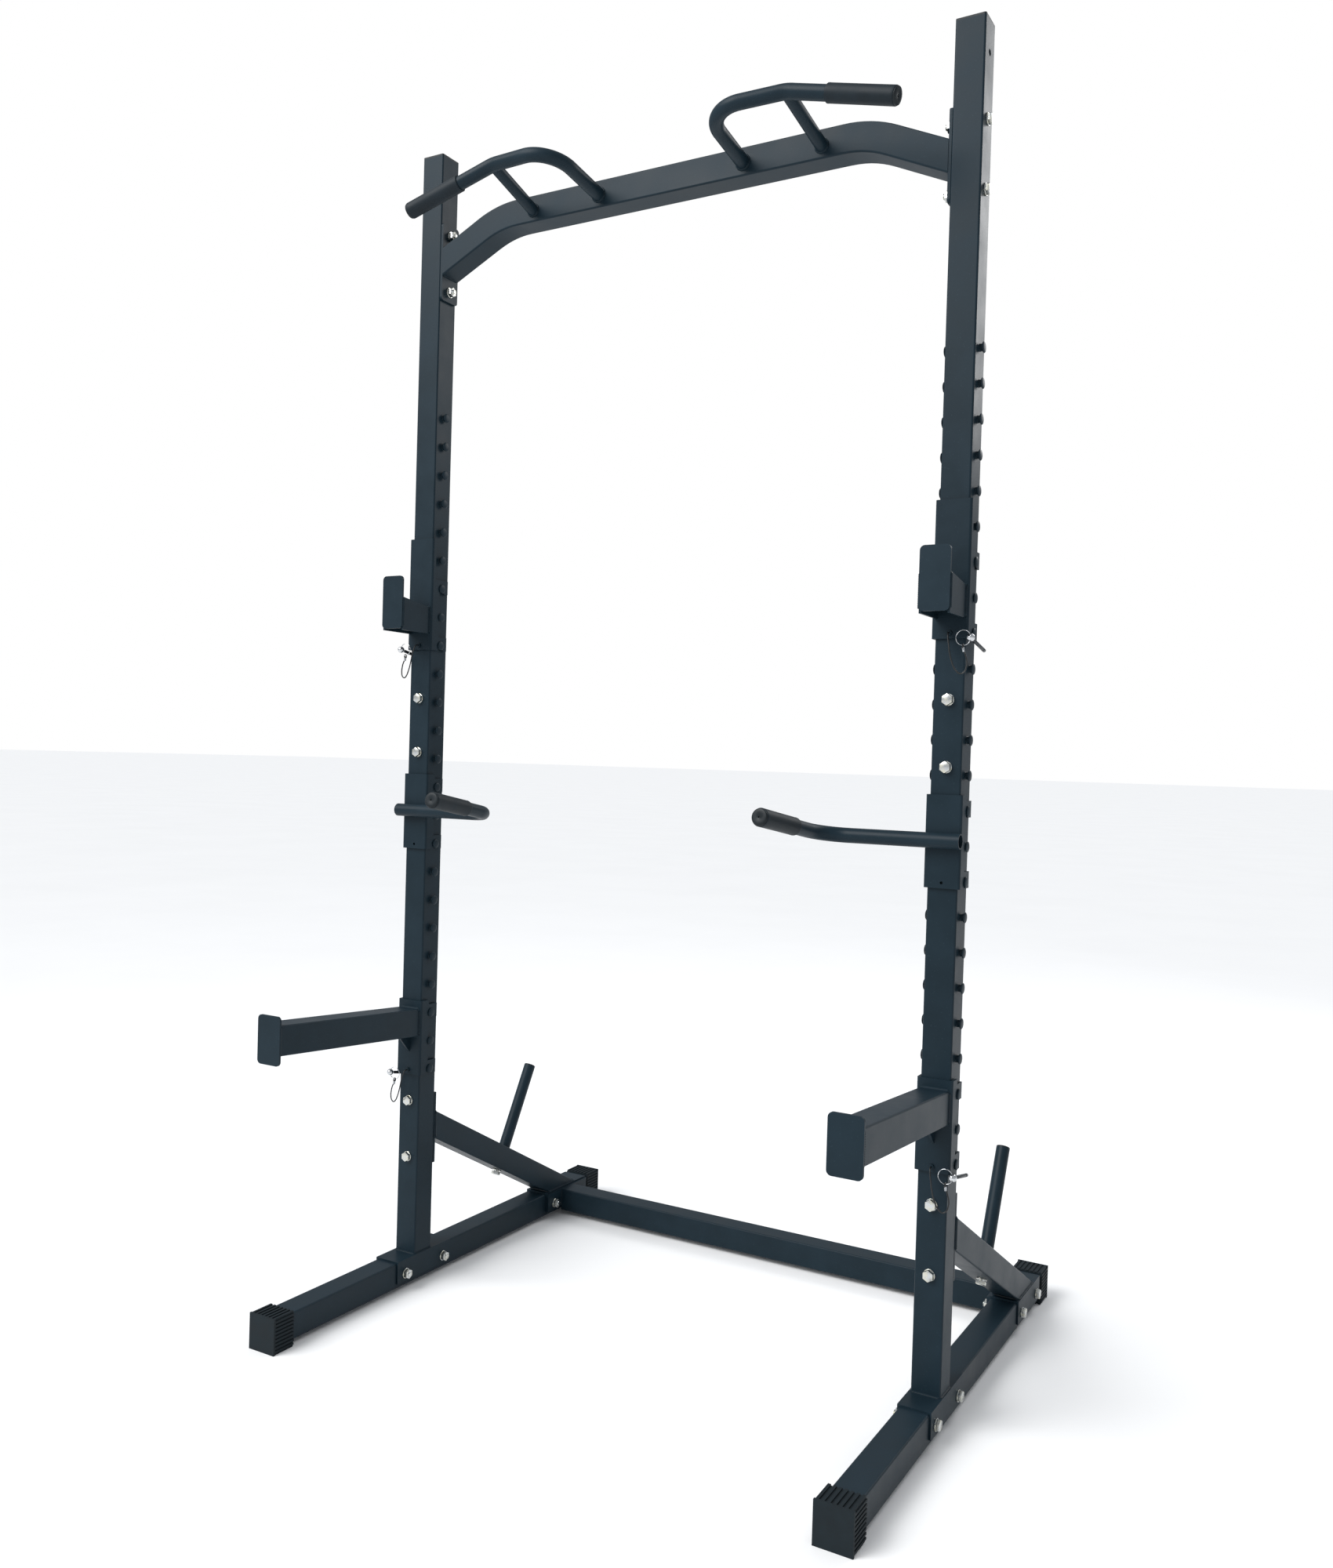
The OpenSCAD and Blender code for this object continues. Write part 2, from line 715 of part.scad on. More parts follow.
module dip_handle(s) {
    zs = dip_stud_z;
    color(STEEL) at_upright(s) {
        bracket(zs, zs + hook_span + bracket_high, zs + hook_span + bracket_high);
        difference() {
            bent_rod(dip_a(), [dip_c()], [dip_bend_r], dip_tube_end, grip_d);
            bent_rod(dip_a() + [plate, 0, 0], [dip_c()], [dip_bend_r], dip_tube_end + dip_dir, grip_bore);
        }
    }
}

module dip_sleeve(s) {
    color(RUBBER) at_upright(s) pipe(dip_e() - dip_sleeve_l * dip_dir, dip_tube_end, sleeve_d, grip_d + 0.2);
}

module dip_plug(s) {
    color(RUBBER) at_upright(s) along(dip_e(), dip_e() + dip_dir) round_plug(sleeve_d - 2, grip_bore);
}

module spotter(s) {
    zs = arm_stud_z;
    arm_run = arm_front - plate + bracket_front;
    weld = bracket_front + 0.5;
    arm_axis_z = zs + arm_back_up;
    gusset = 34;
    color(STEEL) at_upright(s) {
        bracket(zs, zs + hook_span + bracket_high, zs + hook_span + bracket_high);
        lanyard_boss(zs);
        top_fillet(tube - 2 * tube_round + 1, arm_axis_z + arm_h / 2 / cos(arm_angle));
        intersection() {
            translate([0, tube, arm_axis_z - (tube - bracket_front) * tan(arm_angle)])
                rotate([90 - arm_angle, 0, 0]) linear_extrude(2 * arm_front)
                    tube_section(tube, arm_h, wall, tube_round);
            translate([-tube, -arm_front + plate, zs]) cube([2 * tube, arm_run + 0.5, 4 * tube]);
        }
        translate([0, -arm_front + plate, arm_axis_z + arm_run * tan(arm_angle) - 1]) rotate([90, 0, 0])
            linear_extrude(plate) round_rect(arm_plate[0], arm_plate[1], 8);
        across_x(plate) polygon([
            [weld, arm_axis_z - arm_h / 2 + 1], [weld, arm_axis_z - arm_h / 2 - gusset],
            [weld - gusset, arm_axis_z - arm_h / 2 + gusset * tan(arm_angle) + 1]
        ]);
    }
}

// ---- lock pins and lanyards, hung below a bracket whose lower stud is at zs ----

module lock_pin(s, zs) {
    tip = 3;
    color(CHROME) at_upright(s) translate(knob + [0, 0, zs + tab_low]) {
        difference() {
            union() {
                sphere(knob_r, $fn = 40);
                rotate([-90 - pin_droop, 0, 0]) {
                    cylinder(h = pin_l - tip, d = pin_d, $fn = 32);
                    translate([0, 0, pin_l - tip]) cylinder(h = tip, d1 = pin_d, d2 = pin_d - 3, $fn = 32);
                }
            }
            cylinder(h = 3 * knob_r, r = 3 * ring_wire, center = true, $fn = 32);
        }
    }
}

module split_ring(s, zs) {
    color(CHROME) at_upright(s) translate(knob + [-ring_r, 0, zs + tab_low]) rotate([90, 0, 0])
        rotate_extrude($fn = 64) translate([ring_r, 0]) circle(ring_wire, $fn = 16);
}

// Tube of radius r swept along pts: one ring of points at each, closed at both ends
function path_dir(pts, i) = unit(pts[min(i + 1, len(pts) - 1)] - pts[max(i - 1, 0)]);
function path_ring(pts, i, r, n) =
    let (d = path_dir(pts, i), u = unit(cross(d, [0, 1, 0.3])), v = cross(d, u))
    [for (k = [0 : n - 1]) pts[i] + r * (cos(360 * k / n) * u + sin(360 * k / n) * v)];

module cord_tube(pts, r) {
    n = 8;
    m = len(pts);
    rings = [for (i = [0 : m - 1]) each path_ring(pts, i, r, n)];
    low = [for (i = [0 : m - 2], k = [0 : n - 1]) [i * n + k, i * n + (k + 1) % n, (i + 1) * n + k]];
    high = [for (i = [0 : m - 2], k = [0 : n - 1])
        [i * n + (k + 1) % n, (i + 1) * n + (k + 1) % n, (i + 1) * n + k]];
    ends = [[for (k = [n - 1 : -1 : 0]) k], [for (k = [0 : n - 1]) (m - 1) * n + k]];
    polyhedron(rings, concat(low, high, ends));
}

module lanyard(s, zs) {
    color(CORD) at_upright(s) translate([0, 0, zs + tab_low]) cord_tube(lanyard_route, lanyard_d / 2);
}

// ---- assembly ----

module washers() {
    color(ZINC) {
        saddle_fasteners(2);
        upright_fasteners(2);
        pull_up_fasteners(2);
        for (s = [-1, 1]) at_upright(s) at_peg() translate([0, 0, -half - washer_t]) plain_washer();
    }
}

module place() {
    translate([0, frame_y, 0]) children();
}

place() base_tube(-1);  // base_tube_left
place() base_tube(1);  // base_tube_right
place() foot_cap(-1, false);  // foot_cap_front_left
place() foot_cap(1, false);  // foot_cap_front_right
place() foot_cap(-1, true);  // foot_cap_rear_left
place() foot_cap(1, true);  // foot_cap_rear_right
place() lower_upright(-1);  // lower_upright_left
place() lower_upright(1);  // lower_upright_right
place() upper_upright(-1);  // upper_upright_left
place() upper_upright(1);  // upper_upright_right
place() splice_sleeve(-1);  // splice_sleeve_left
place() splice_sleeve(1);  // splice_sleeve_right
place() top_cap(-1);  // top_cap_left
place() top_cap(1);  // top_cap_right
place() studs(-1);  // studs_left
place() studs(1);  // studs_right
place() brace(-1);  // brace_left
place() brace(1);  // brace_right
place() rear_cross_tube();
place() plate_peg(-1);  // plate_peg_left
place() plate_peg(1);  // plate_peg_right
place() peg_plug(-1);  // peg_plug_left
place() peg_plug(1);  // peg_plug_right
place() pull_up_bar();
place() grip(-1);  // grip_left
place() grip(1);  // grip_right
place() grip_sleeve(-1);  // grip_sleeve_left
place() grip_sleeve(1);  // grip_sleeve_right
place() grip_plug(-1);  // grip_plug_left
place() grip_plug(1);  // grip_plug_right
place() color(ZINC) saddle_fasteners(0);  // saddle_bolts
place() color(ZINC) upright_fasteners(0);  // upright_bolts
place() color(ZINC) pull_up_fasteners(0);  // pull_up_bolts
place() peg_bolts();
place() color(ZINC) saddle_fasteners(1);  // saddle_nuts
place() color(ZINC) upright_fasteners(1);  // upright_nuts
place() color(ZINC) pull_up_fasteners(1);  // pull_up_nuts
place() washers();
place() j_hook(-1);  // j_hook_left
place() j_hook(1);  // j_hook_right
place() dip_handle(-1);  // dip_handle_left
place() dip_handle(1);  // dip_handle_right
place() dip_sleeve(-1);  // dip_sleeve_left
place() dip_sleeve(1);  // dip_sleeve_right
place() dip_plug(-1);  // dip_plug_left
place() dip_plug(1);  // dip_plug_right
place() spotter(-1);  // spotter_left
place() spotter(1);  // spotter_right
place() lock_pin(-1, j_stud_z);  // j_hook_pin_left
place() lock_pin(1, j_stud_z);  // j_hook_pin_right
place() lock_pin(-1, arm_stud_z);  // spotter_pin_left
place() lock_pin(1, arm_stud_z);  // spotter_pin_right
place() split_ring(-1, j_stud_z);  // j_hook_ring_left
place() split_ring(1, j_stud_z);  // j_hook_ring_right
place() split_ring(-1, arm_stud_z);  // spotter_ring_left
place() split_ring(1, arm_stud_z);  // spotter_ring_right
place() lanyard(-1, j_stud_z);  // j_hook_lanyard_left
place() lanyard(1, j_stud_z);  // j_hook_lanyard_right
place() lanyard(-1, arm_stud_z);  // spotter_lanyard_left
place() lanyard(1, arm_stud_z);  // spotter_lanyard_right
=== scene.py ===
"""Looks of a free-standing power cage: an open half rack in black powder-coated tube.

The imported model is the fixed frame. Every class below makes the detail pieces of one sub-assembly,
and dress_nodes gives the plain CAD nodes their finish. Lengths are in millimetres about the rack's
own axes; Shape.finish and Tether.cord turn them into metres.
"""

from __future__ import annotations

import json
import logging
import math
from dataclasses import dataclass, field
from enum import Enum
from typing import Any, Iterable, Sequence

import bmesh
import bpy
from mathutils import Matrix, Quaternion, Vector

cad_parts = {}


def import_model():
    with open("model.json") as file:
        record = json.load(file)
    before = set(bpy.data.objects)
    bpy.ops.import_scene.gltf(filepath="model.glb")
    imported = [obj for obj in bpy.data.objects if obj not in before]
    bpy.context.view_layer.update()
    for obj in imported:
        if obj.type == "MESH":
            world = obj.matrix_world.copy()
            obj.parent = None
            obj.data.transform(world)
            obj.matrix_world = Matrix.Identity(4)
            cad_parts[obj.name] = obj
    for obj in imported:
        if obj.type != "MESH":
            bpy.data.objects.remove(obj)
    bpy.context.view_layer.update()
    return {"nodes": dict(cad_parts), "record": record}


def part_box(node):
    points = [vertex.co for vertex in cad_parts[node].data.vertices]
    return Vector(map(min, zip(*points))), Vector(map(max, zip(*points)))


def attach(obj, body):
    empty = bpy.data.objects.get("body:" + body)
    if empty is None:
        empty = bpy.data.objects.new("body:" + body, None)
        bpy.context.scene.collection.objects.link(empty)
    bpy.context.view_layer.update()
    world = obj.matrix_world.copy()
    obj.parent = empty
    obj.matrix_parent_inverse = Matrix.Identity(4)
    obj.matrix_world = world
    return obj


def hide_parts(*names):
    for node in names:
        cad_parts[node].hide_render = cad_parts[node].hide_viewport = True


log = logging.getLogger("power_cage")

MM = 0.001
# The brace's slope from the floor, which is also the peg's lean from upright
BRACE_DEG = 28.3
# The CAD nodes by name, filled in by main
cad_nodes: dict[str, bpy.types.Object] = {}


class Side(Enum):
    """The two halves of the rack, with the sign of their x coordinates."""

    LEFT = -1
    RIGHT = 1

    @property
    def word(self) -> str:
        """The side's name as it ends a node's or a body's name."""
        return self.name.lower()

    @property
    def flip(self) -> Matrix:
        """Takes a point of the right-hand side to this side."""
        return Matrix.Scale(self.value, 4, Vector((1, 0, 0)))


class Level(Enum):
    """What hangs on the studs, with the height of its lower stud in millimetres."""

    J_HOOK = 1291
    DIP = 892
    SPOTTER = 436


# ---- small helpers ----


def linear(code: str) -> tuple[float, float, float, float]:
    """Turns an sRGB hex colour into linear RGBA.

    Args:
        code: The colour as "#RRGGBB".

    Returns:
        The linear red, green and blue, with an alpha of 1.
    """
    parts = [int(code[i : i + 2], 16) / 255 for i in (1, 3, 5)]
    r, g, b = (p / 12.92 if p <= 0.04045 else ((p + 0.055) / 1.055) ** 2.4 for p in parts)
    return r, g, b, 1.0


def add(
    tree: bpy.types.NodeTree, kind: str, links: dict[Any, Any] | None = None, **settings: Any
) -> Any:
    """Adds one shader node with its settings and its inputs.

    Args:
        tree: The material's node tree.
        kind: The node's type name, without the "ShaderNode" in front.
        links: Input name or number to the socket that feeds it or the value it takes.
        **settings: Attributes of the node itself.

    Returns:
        The new node.
    """
    node = tree.nodes.new("ShaderNode" + kind)
    for key, value in settings.items():
        setattr(node, key, value)
    for key, value in (links or {}).items():
        if isinstance(value, bpy.types.NodeSocket):
            tree.links.new(value, node.inputs[key])
        else:
            node.inputs[key].default_value = value
    return node


def per_metre(size_mm: float) -> float:
    """The texture scale that makes one feature of a pattern this many millimetres wide."""
    return 1000.0 / size_mm


def link_new(name: str, data: Any) -> bpy.types.Object:
    """Makes an object of a mesh, curve, camera or light and links it to the scene."""
    obj = bpy.data.objects.new(name, data)
    bpy.context.scene.collection.objects.link(obj)
    return obj


# ---- finishes ----


@dataclass(frozen=True)
class Finish:
    """A finish: a real material and how its surface was made.

    Attributes:
        name: The material's name.
        colour: Its main colour.
        shade: The second colour that it drifts towards.
        drift_mm: How wide the patches of the second colour are.
        grain_mm: How wide the bumps of the surface are.
        relief_mm: How high the bumps are.
        roughness: The smoothest and the roughest value on the surface.
        metallic: 1 for bare metal, 0 for everything else.
        gloss: How strongly the skin reflects; 0.5 is a gloss paint, less is duller, and metals
            keep 0.5.
    """

    name: str
    colour: str
    shade: str
    drift_mm: float
    grain_mm: float
    relief_mm: float
    roughness: tuple[float, float]
    metallic: float = 0.0
    gloss: float = 0.5

    def make(self) -> bpy.types.Material:
        """Makes the material, or returns it if it was made before."""
        found = bpy.data.materials.get(self.name)
        if found:
            return found
        material = bpy.data.materials.new(self.name)
        material.use_nodes = True
        tree = material.node_tree
        tree.nodes.clear()
        where = add(tree, "TexCoord").outputs["Object"]
        skin = {"Metallic": self.metallic, "Specular IOR Level": self.gloss}
        surface = add(tree, "BsdfPrincipled", skin)
        self.paint(tree, where, surface)
        add(tree, "OutputMaterial", {"Surface": surface.outputs["BSDF"]})
        return material

    def paint(self, tree: bpy.types.NodeTree, where: bpy.types.NodeSocket, surface: Any) -> None:
        """Feeds the surface its colour, roughness and relief.

        Args:
            tree: The material's node tree.
            where: The object coordinates.
            surface: The principled shader.
        """
        drift = {"Scale": per_metre(self.drift_mm), "Detail": 4.0, "Roughness": 0.6}
        patches = add(tree, "TexNoise", {"Vector": where, **drift})
        ramp = add(tree, "ValToRGB", {"Fac": patches.outputs["Fac"]})
        ramp.color_ramp.elements[0].position = 0.35
        ramp.color_ramp.elements[0].color = linear(self.colour)
        ramp.color_ramp.elements[1].position = 0.7
        ramp.color_ramp.elements[1].color = linear(self.shade)
        tree.links.new(ramp.outputs["Color"], surface.inputs["Base Color"])
        low, high = self.roughness
        span = {"From Min": 0.3, "From Max": 0.7, "To Min": low, "To Max": high}
        gloss = add(tree, "MapRange", {"Value": patches.outputs["Fac"], **span})
        tree.links.new(gloss.outputs["Result"], surface.inputs["Roughness"])
        grain = add(
            tree, "TexNoise", {"Vector": where, "Scale": per_metre(self.grain_mm), "Detail": 2.0}
        )
        height = {"Strength": 1.0, "Distance": self.relief_mm * MM}
        relief = add(tree, "Bump", {"Height": grain.outputs["Fac"], **height})
        tree.links.new(relief.outputs["Normal"], surface.inputs["Normal"])


@dataclass(frozen=True)
class PowderCoat(Finish):
    """Baked polyester powder on steel: satin, with a faint orange-peel skin and a few dust nibs
    painted with pale highlight specks.

    Attributes:
        nib_highlight: The painted highlight colour of the nibs: pale specks that stand for the light
            they catch.
        nib_mm: The distance between nibs.
    """

    # The nibs' painted highlight: a pale colour for the light their bumps catch
    nib_highlight: str = "#33424B"
    nib_mm: float = 6.0
    gloss: float = 0.13

    def paint(self, tree: bpy.types.NodeTree, where: bpy.types.NodeSocket, surface: Any) -> None:
        """Paints pale highlight specks for the nibs into the drifting colour; the arguments are
        those of Finish.paint.
        """
        super().paint(tree, where, surface)
        drifting = surface.inputs["Base Color"].links[0].from_socket
        # Pale specks on the nib cells: a painted highlight where the nibs catch the light
        cells = add(tree, "TexVoronoi", {"Vector": where, "Scale": per_metre(self.nib_mm)})
        span = {"From Min": 0.05, "From Max": 0.12, "To Min": 0.55, "To Max": 0.0}
        highlight_speck = add(tree, "MapRange", {"Value": cells.outputs["Distance"], **span})
        mixed = self.blend(tree, highlight_speck.outputs["Result"], drifting)
        tree.links.new(mixed, surface.inputs["Base Color"])

    def blend(self, tree: bpy.types.NodeTree, share: Any, under: Any) -> Any:
        """Mixes the nibs' painted highlight colour over another one.

        Args:
            tree: The material's node tree.
            share: The socket that says how much of the nibs' painted highlight shows.
            under: The socket of the colour beneath.

        Returns:
            The mixed colour's socket.
        """
        mix = add(tree, "Mix", data_type="RGBA")
        colours = [s for s in mix.inputs if s.type == "RGBA"]
        tree.links.new(share, mix.inputs[0])
        tree.links.new(under, colours[0])
        colours[1].default_value = linear(self.nib_highlight)
        return [s for s in mix.outputs if s.type == "RGBA"][0]


# Satin black with a slate tint; the peel is 3 mm wide, coarser than the real 1 mm, so that it shows
POWDER = PowderCoat("Powder-coated steel", "#15232B", "#1A2932", 90, 3.0, 0.035, (0.36, 0.46))
# The same coat over a weld: it pools in the ripples, so it is glossier and uneven
WELD = PowderCoat("Powder-coated weld bead", "#132028", "#1A2830", 12, 1.2, 0.08, (0.3, 0.42))
# Moulded rubber: dead black, dusty in patches, pebbled by the mould
RUBBER = Finish(
    "Moulded natural rubber", "#10191E", "#182227", 25, 1.6, 0.06, (0.6, 0.78), gloss=0.2
)
# Dipped vinyl sleeve: close-grained and a little shinier than the caps
VINYL = Finish("Dipped vinyl grip", "#101A20", "#162128", 40, 1.2, 0.045, (0.48, 0.6), gloss=0.2)
# Injection-moulded polyethylene plug: smooth with a faint flow pattern
PLASTIC = Finish(
    "Moulded polyethylene plug", "#0E161A", "#141D22", 18, 2.0, 0.02, (0.4, 0.52), gloss=0.25
)
# Bright zinc plate: cool silver with straw-coloured passivation in patches
ZINC = Finish("Bright zinc plate", "#C6CACD", "#D3D0BE", 7, 0.8, 0.012, (0.2, 0.34), 1.0)
# Chrome plate on a turned ball: nearly a mirror, with handling haze
CHROME = Finish("Chrome-plated steel", "#D4D6D8", "#C3C6C9", 5, 0.7, 0.004, (0.08, 0.2), 1.0)
# Black oxide on a turned pin: oily dark grey metal
OXIDE = Finish("Black-oxide steel", "#3A3D40", "#4A4D50", 8, 0.6, 0.01, (0.3, 0.45), 1.0)
# Stamped aluminium ferrule: dull pale metal
FERRULE = Finish("Pressed aluminium ferrule", "#B4B7BA", "#9EA2A5", 3, 0.5, 0.015, (0.3, 0.45), 1.0)
# Extruded vinyl over wire rope: the strands show through as a fine relief
COATED_WIRE = Finish("Vinyl-coated wire rope", "#0E1011", "#15181A", 10, 1.0, 0.05, (0.32, 0.45))
# Matt paper sweep under the rack
PAPER = Finish("Matt backdrop paper", "#FBFBFB", "#F8F8F8", 900, 6.0, 0.01, (0.85, 0.95))

SLOT_FINISH = {
    "powder_coat": POWDER,
    "rubber": RUBBER,
    "zinc": ZINC,
    "chrome": CHROME,
    "lanyard": COATED_WIRE,
}


def dress(obj: bpy.types.Object, finish: Finish) -> bpy.types.Object:
    """Gives an object one finish.

    Args:
        obj: The object.
        finish: Its finish.

    Returns:
        The same object.
    """
    obj.data.materials.clear()
    obj.data.materials.append(finish.make())
    return obj


# ---- mesh making ----


class Shape:
    """A mesh under construction, in millimetres about the rack's own axes."""

    def __init__(self) -> None:
        """Starts an empty mesh."""
        self.bm = bmesh.new()

    def _new(self, before: set[bmesh.types.BMVert]) -> list[bmesh.types.BMVert]:
        """The vertices made since the given ones."""
        return [v for v in self.bm.verts if v not in before]

    def lathe(
        self,
        profile: Sequence[tuple[float, float]],
        place: Matrix,
        steps: int = 24,
        loop: bool = False,
    ) -> None:
        """Turns a profile about its z axis and puts the result in place.

        Args:
            profile: Points as (radius, height). An open profile starts and ends on the axis.
            place: Where the turned piece goes.
            steps: How many sectors the turn has.
            loop: Whether the profile closes on itself, as for a ring.
        """
        before = set(self.bm.verts)
        line = [self.bm.verts.new((r, 0, z)) for r, z in profile]
        pairs = list(zip(line, line[1:])) + ([(line[-1], line[0])] if loop else [])
        edges = [self.bm.edges.new(pair) for pair in pairs]
        bmesh.ops.spin(
            self.bm, geom=line + edges, axis=(0, 0, 1), cent=(0, 0, 0), angle=math.tau,
            steps=steps, use_merge=True,
        )
        bmesh.ops.remove_doubles(self.bm, verts=self._new(before), dist=1e-4)
        new = self._new(before)
        bmesh.ops.recalc_face_normals(self.bm, faces=list({f for v in new for f in v.link_faces}))
        bmesh.ops.transform(self.bm, matrix=place, verts=new)

    def hexagon(self, across_corners: float, height: float, place: Matrix) -> None:
        """Adds a hexagonal head or nut with its top edge chamfered.

        Args:
            across_corners: Its size across the corners.
            height: Its height.
            place: Where it goes; it stands on the place's z = 0.
        """
        before = set(self.bm.verts)
        radius, lifted = across_corners / 2, Matrix.Translation((0, 0, height / 2))
        bmesh.ops.create_cone(
            self.bm, cap_ends=True, segments=6, radius1=radius, radius2=radius, depth=height,
            matrix=lifted,
        )
        top = [
            e
            for e in self.bm.edges
            if all(v not in before and v.co.z > height - 0.01 for v in e.verts)
        ]
        bmesh.ops.bevel(
            self.bm, geom=top, offset=1.0, segments=2, profile=0.5, affect="EDGES", material=-1
        )
        bmesh.ops.transform(self.bm, matrix=place, verts=self._new(before))

    def sweep(
        self, path: Sequence[Vector], radii: Sequence[float], sides: int = 8, closed: bool = False
    ) -> None:
        """Draws a round section along a path, with a radius of its own at each point.

        Args:
            path: The centre line.
            radii: The radius at each point.
            sides: How many sides the section has.
            closed: Whether the path's end joins its start.
        """
        before = set(self.bm.verts)
        count = len(path)
        frames = []
        for i, point in enumerate(path):
            ahead = path[(i + 1) % count] if closed or i < count - 1 else point
            behind = path[i - 1] if closed or i > 0 else point
            turn = (ahead - behind).to_track_quat("Z", "Y").to_matrix().to_4x4()
            frames.append(Matrix.Translation(point) @ turn @ Matrix.Scale(radii[i], 4))
        ring = bmesh.ops.create_circle(self.bm, cap_ends=False, radius=1.0, segments=sides)["verts"]
        edges = list({e for v in ring for e in v.link_edges})
        bmesh.ops.transform(self.bm, matrix=frames[0], verts=ring)
        first = edges
        for earlier, later in zip(frames, frames[1:]):
            made = bmesh.ops.extrude_edge_only(self.bm, edges=edges)["geom"]
            ring = [g for g in made if isinstance(g, bmesh.types.BMVert)]
            edges = [g for g in made if isinstance(g, bmesh.types.BMEdge)]
            edges = [e for e in edges if all(v in ring for v in e.verts)]
            bmesh.ops.transform(self.bm, matrix=later @ earlier.inverted(), verts=ring)
        if closed:
            bmesh.ops.bridge_loops(self.bm, edges=first + edges)
        else:
            bmesh.ops.holes_fill(self.bm, edges=first + edges, sides=0)
        faces = list({f for v in self._new(before) for f in v.link_faces})
        bmesh.ops.recalc_face_normals(self.bm, faces=faces)

    def finish(self, name: str, origin: Vector, smooth_deg: float = 40) -> bpy.types.Object:
        """Turns the mesh into an object.

        Args:
            name: The piece's name.
            origin: Where the rack's axes cross, in metres in the row frame.
            smooth_deg: Edges sharper than this stay sharp.

        Returns:
            The object, at the origin, with its place in its mesh.
        """
        bmesh.ops.scale(self.bm, vec=(MM, MM, MM), verts=self.bm.verts)
        bmesh.ops.translate(self.bm, vec=origin, verts=self.bm.verts)
        for face in self.bm.faces:
            face.smooth = True
        limit = math.radians(smooth_deg)
        for edge in self.bm.edges:
            edge.smooth = len(edge.link_faces) == 2 and edge.calc_face_angle(0) < limit
        mesh = bpy.data.meshes.new(name)
        self.bm.to_mesh(mesh)
        self.bm.free()
        return link_new(name, mesh)


def aim(start: Vector, towards: Vector) -> Matrix:
    """The place of a piece that stands at start with its z axis along towards."""
    turn = towards.to_track_quat("Z", "Y").to_matrix().to_4x4()
    return Matrix.Translation(start) @ turn


def solids(name: str, origin: Vector) -> list[tuple[Vector, Vector]]:
    """The box of each separate solid in a CAD node.

    Args:
        name: The node's name.
        origin: Where the rack's axes cross, in metres in the row frame.

    Returns:
        The low and high corners of each box, in millimetres about the rack's axes.
    """
    bm = bmesh.new()
    bm.from_mesh(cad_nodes[name].data)
    bmesh.ops.remove_doubles(bm, verts=bm.verts, dist=1e-5)
    left = set(bm.verts)
    boxes = []
    while left:
        stack = [left.pop()]
        low, high = stack[0].co.copy(), stack[0].co.copy()
        while stack:
            vert = stack.pop()
            low = Vector(map(min, low, vert.co))
            high = Vector(map(max, high, vert.co))
            near = {e.other_vert(vert) for e in vert.link_edges} & left
            left -= near
            stack.extend(near)
        boxes.append(((low - origin) / MM, (high - origin) / MM))
    bm.free()
    return boxes


# ---- studio ----


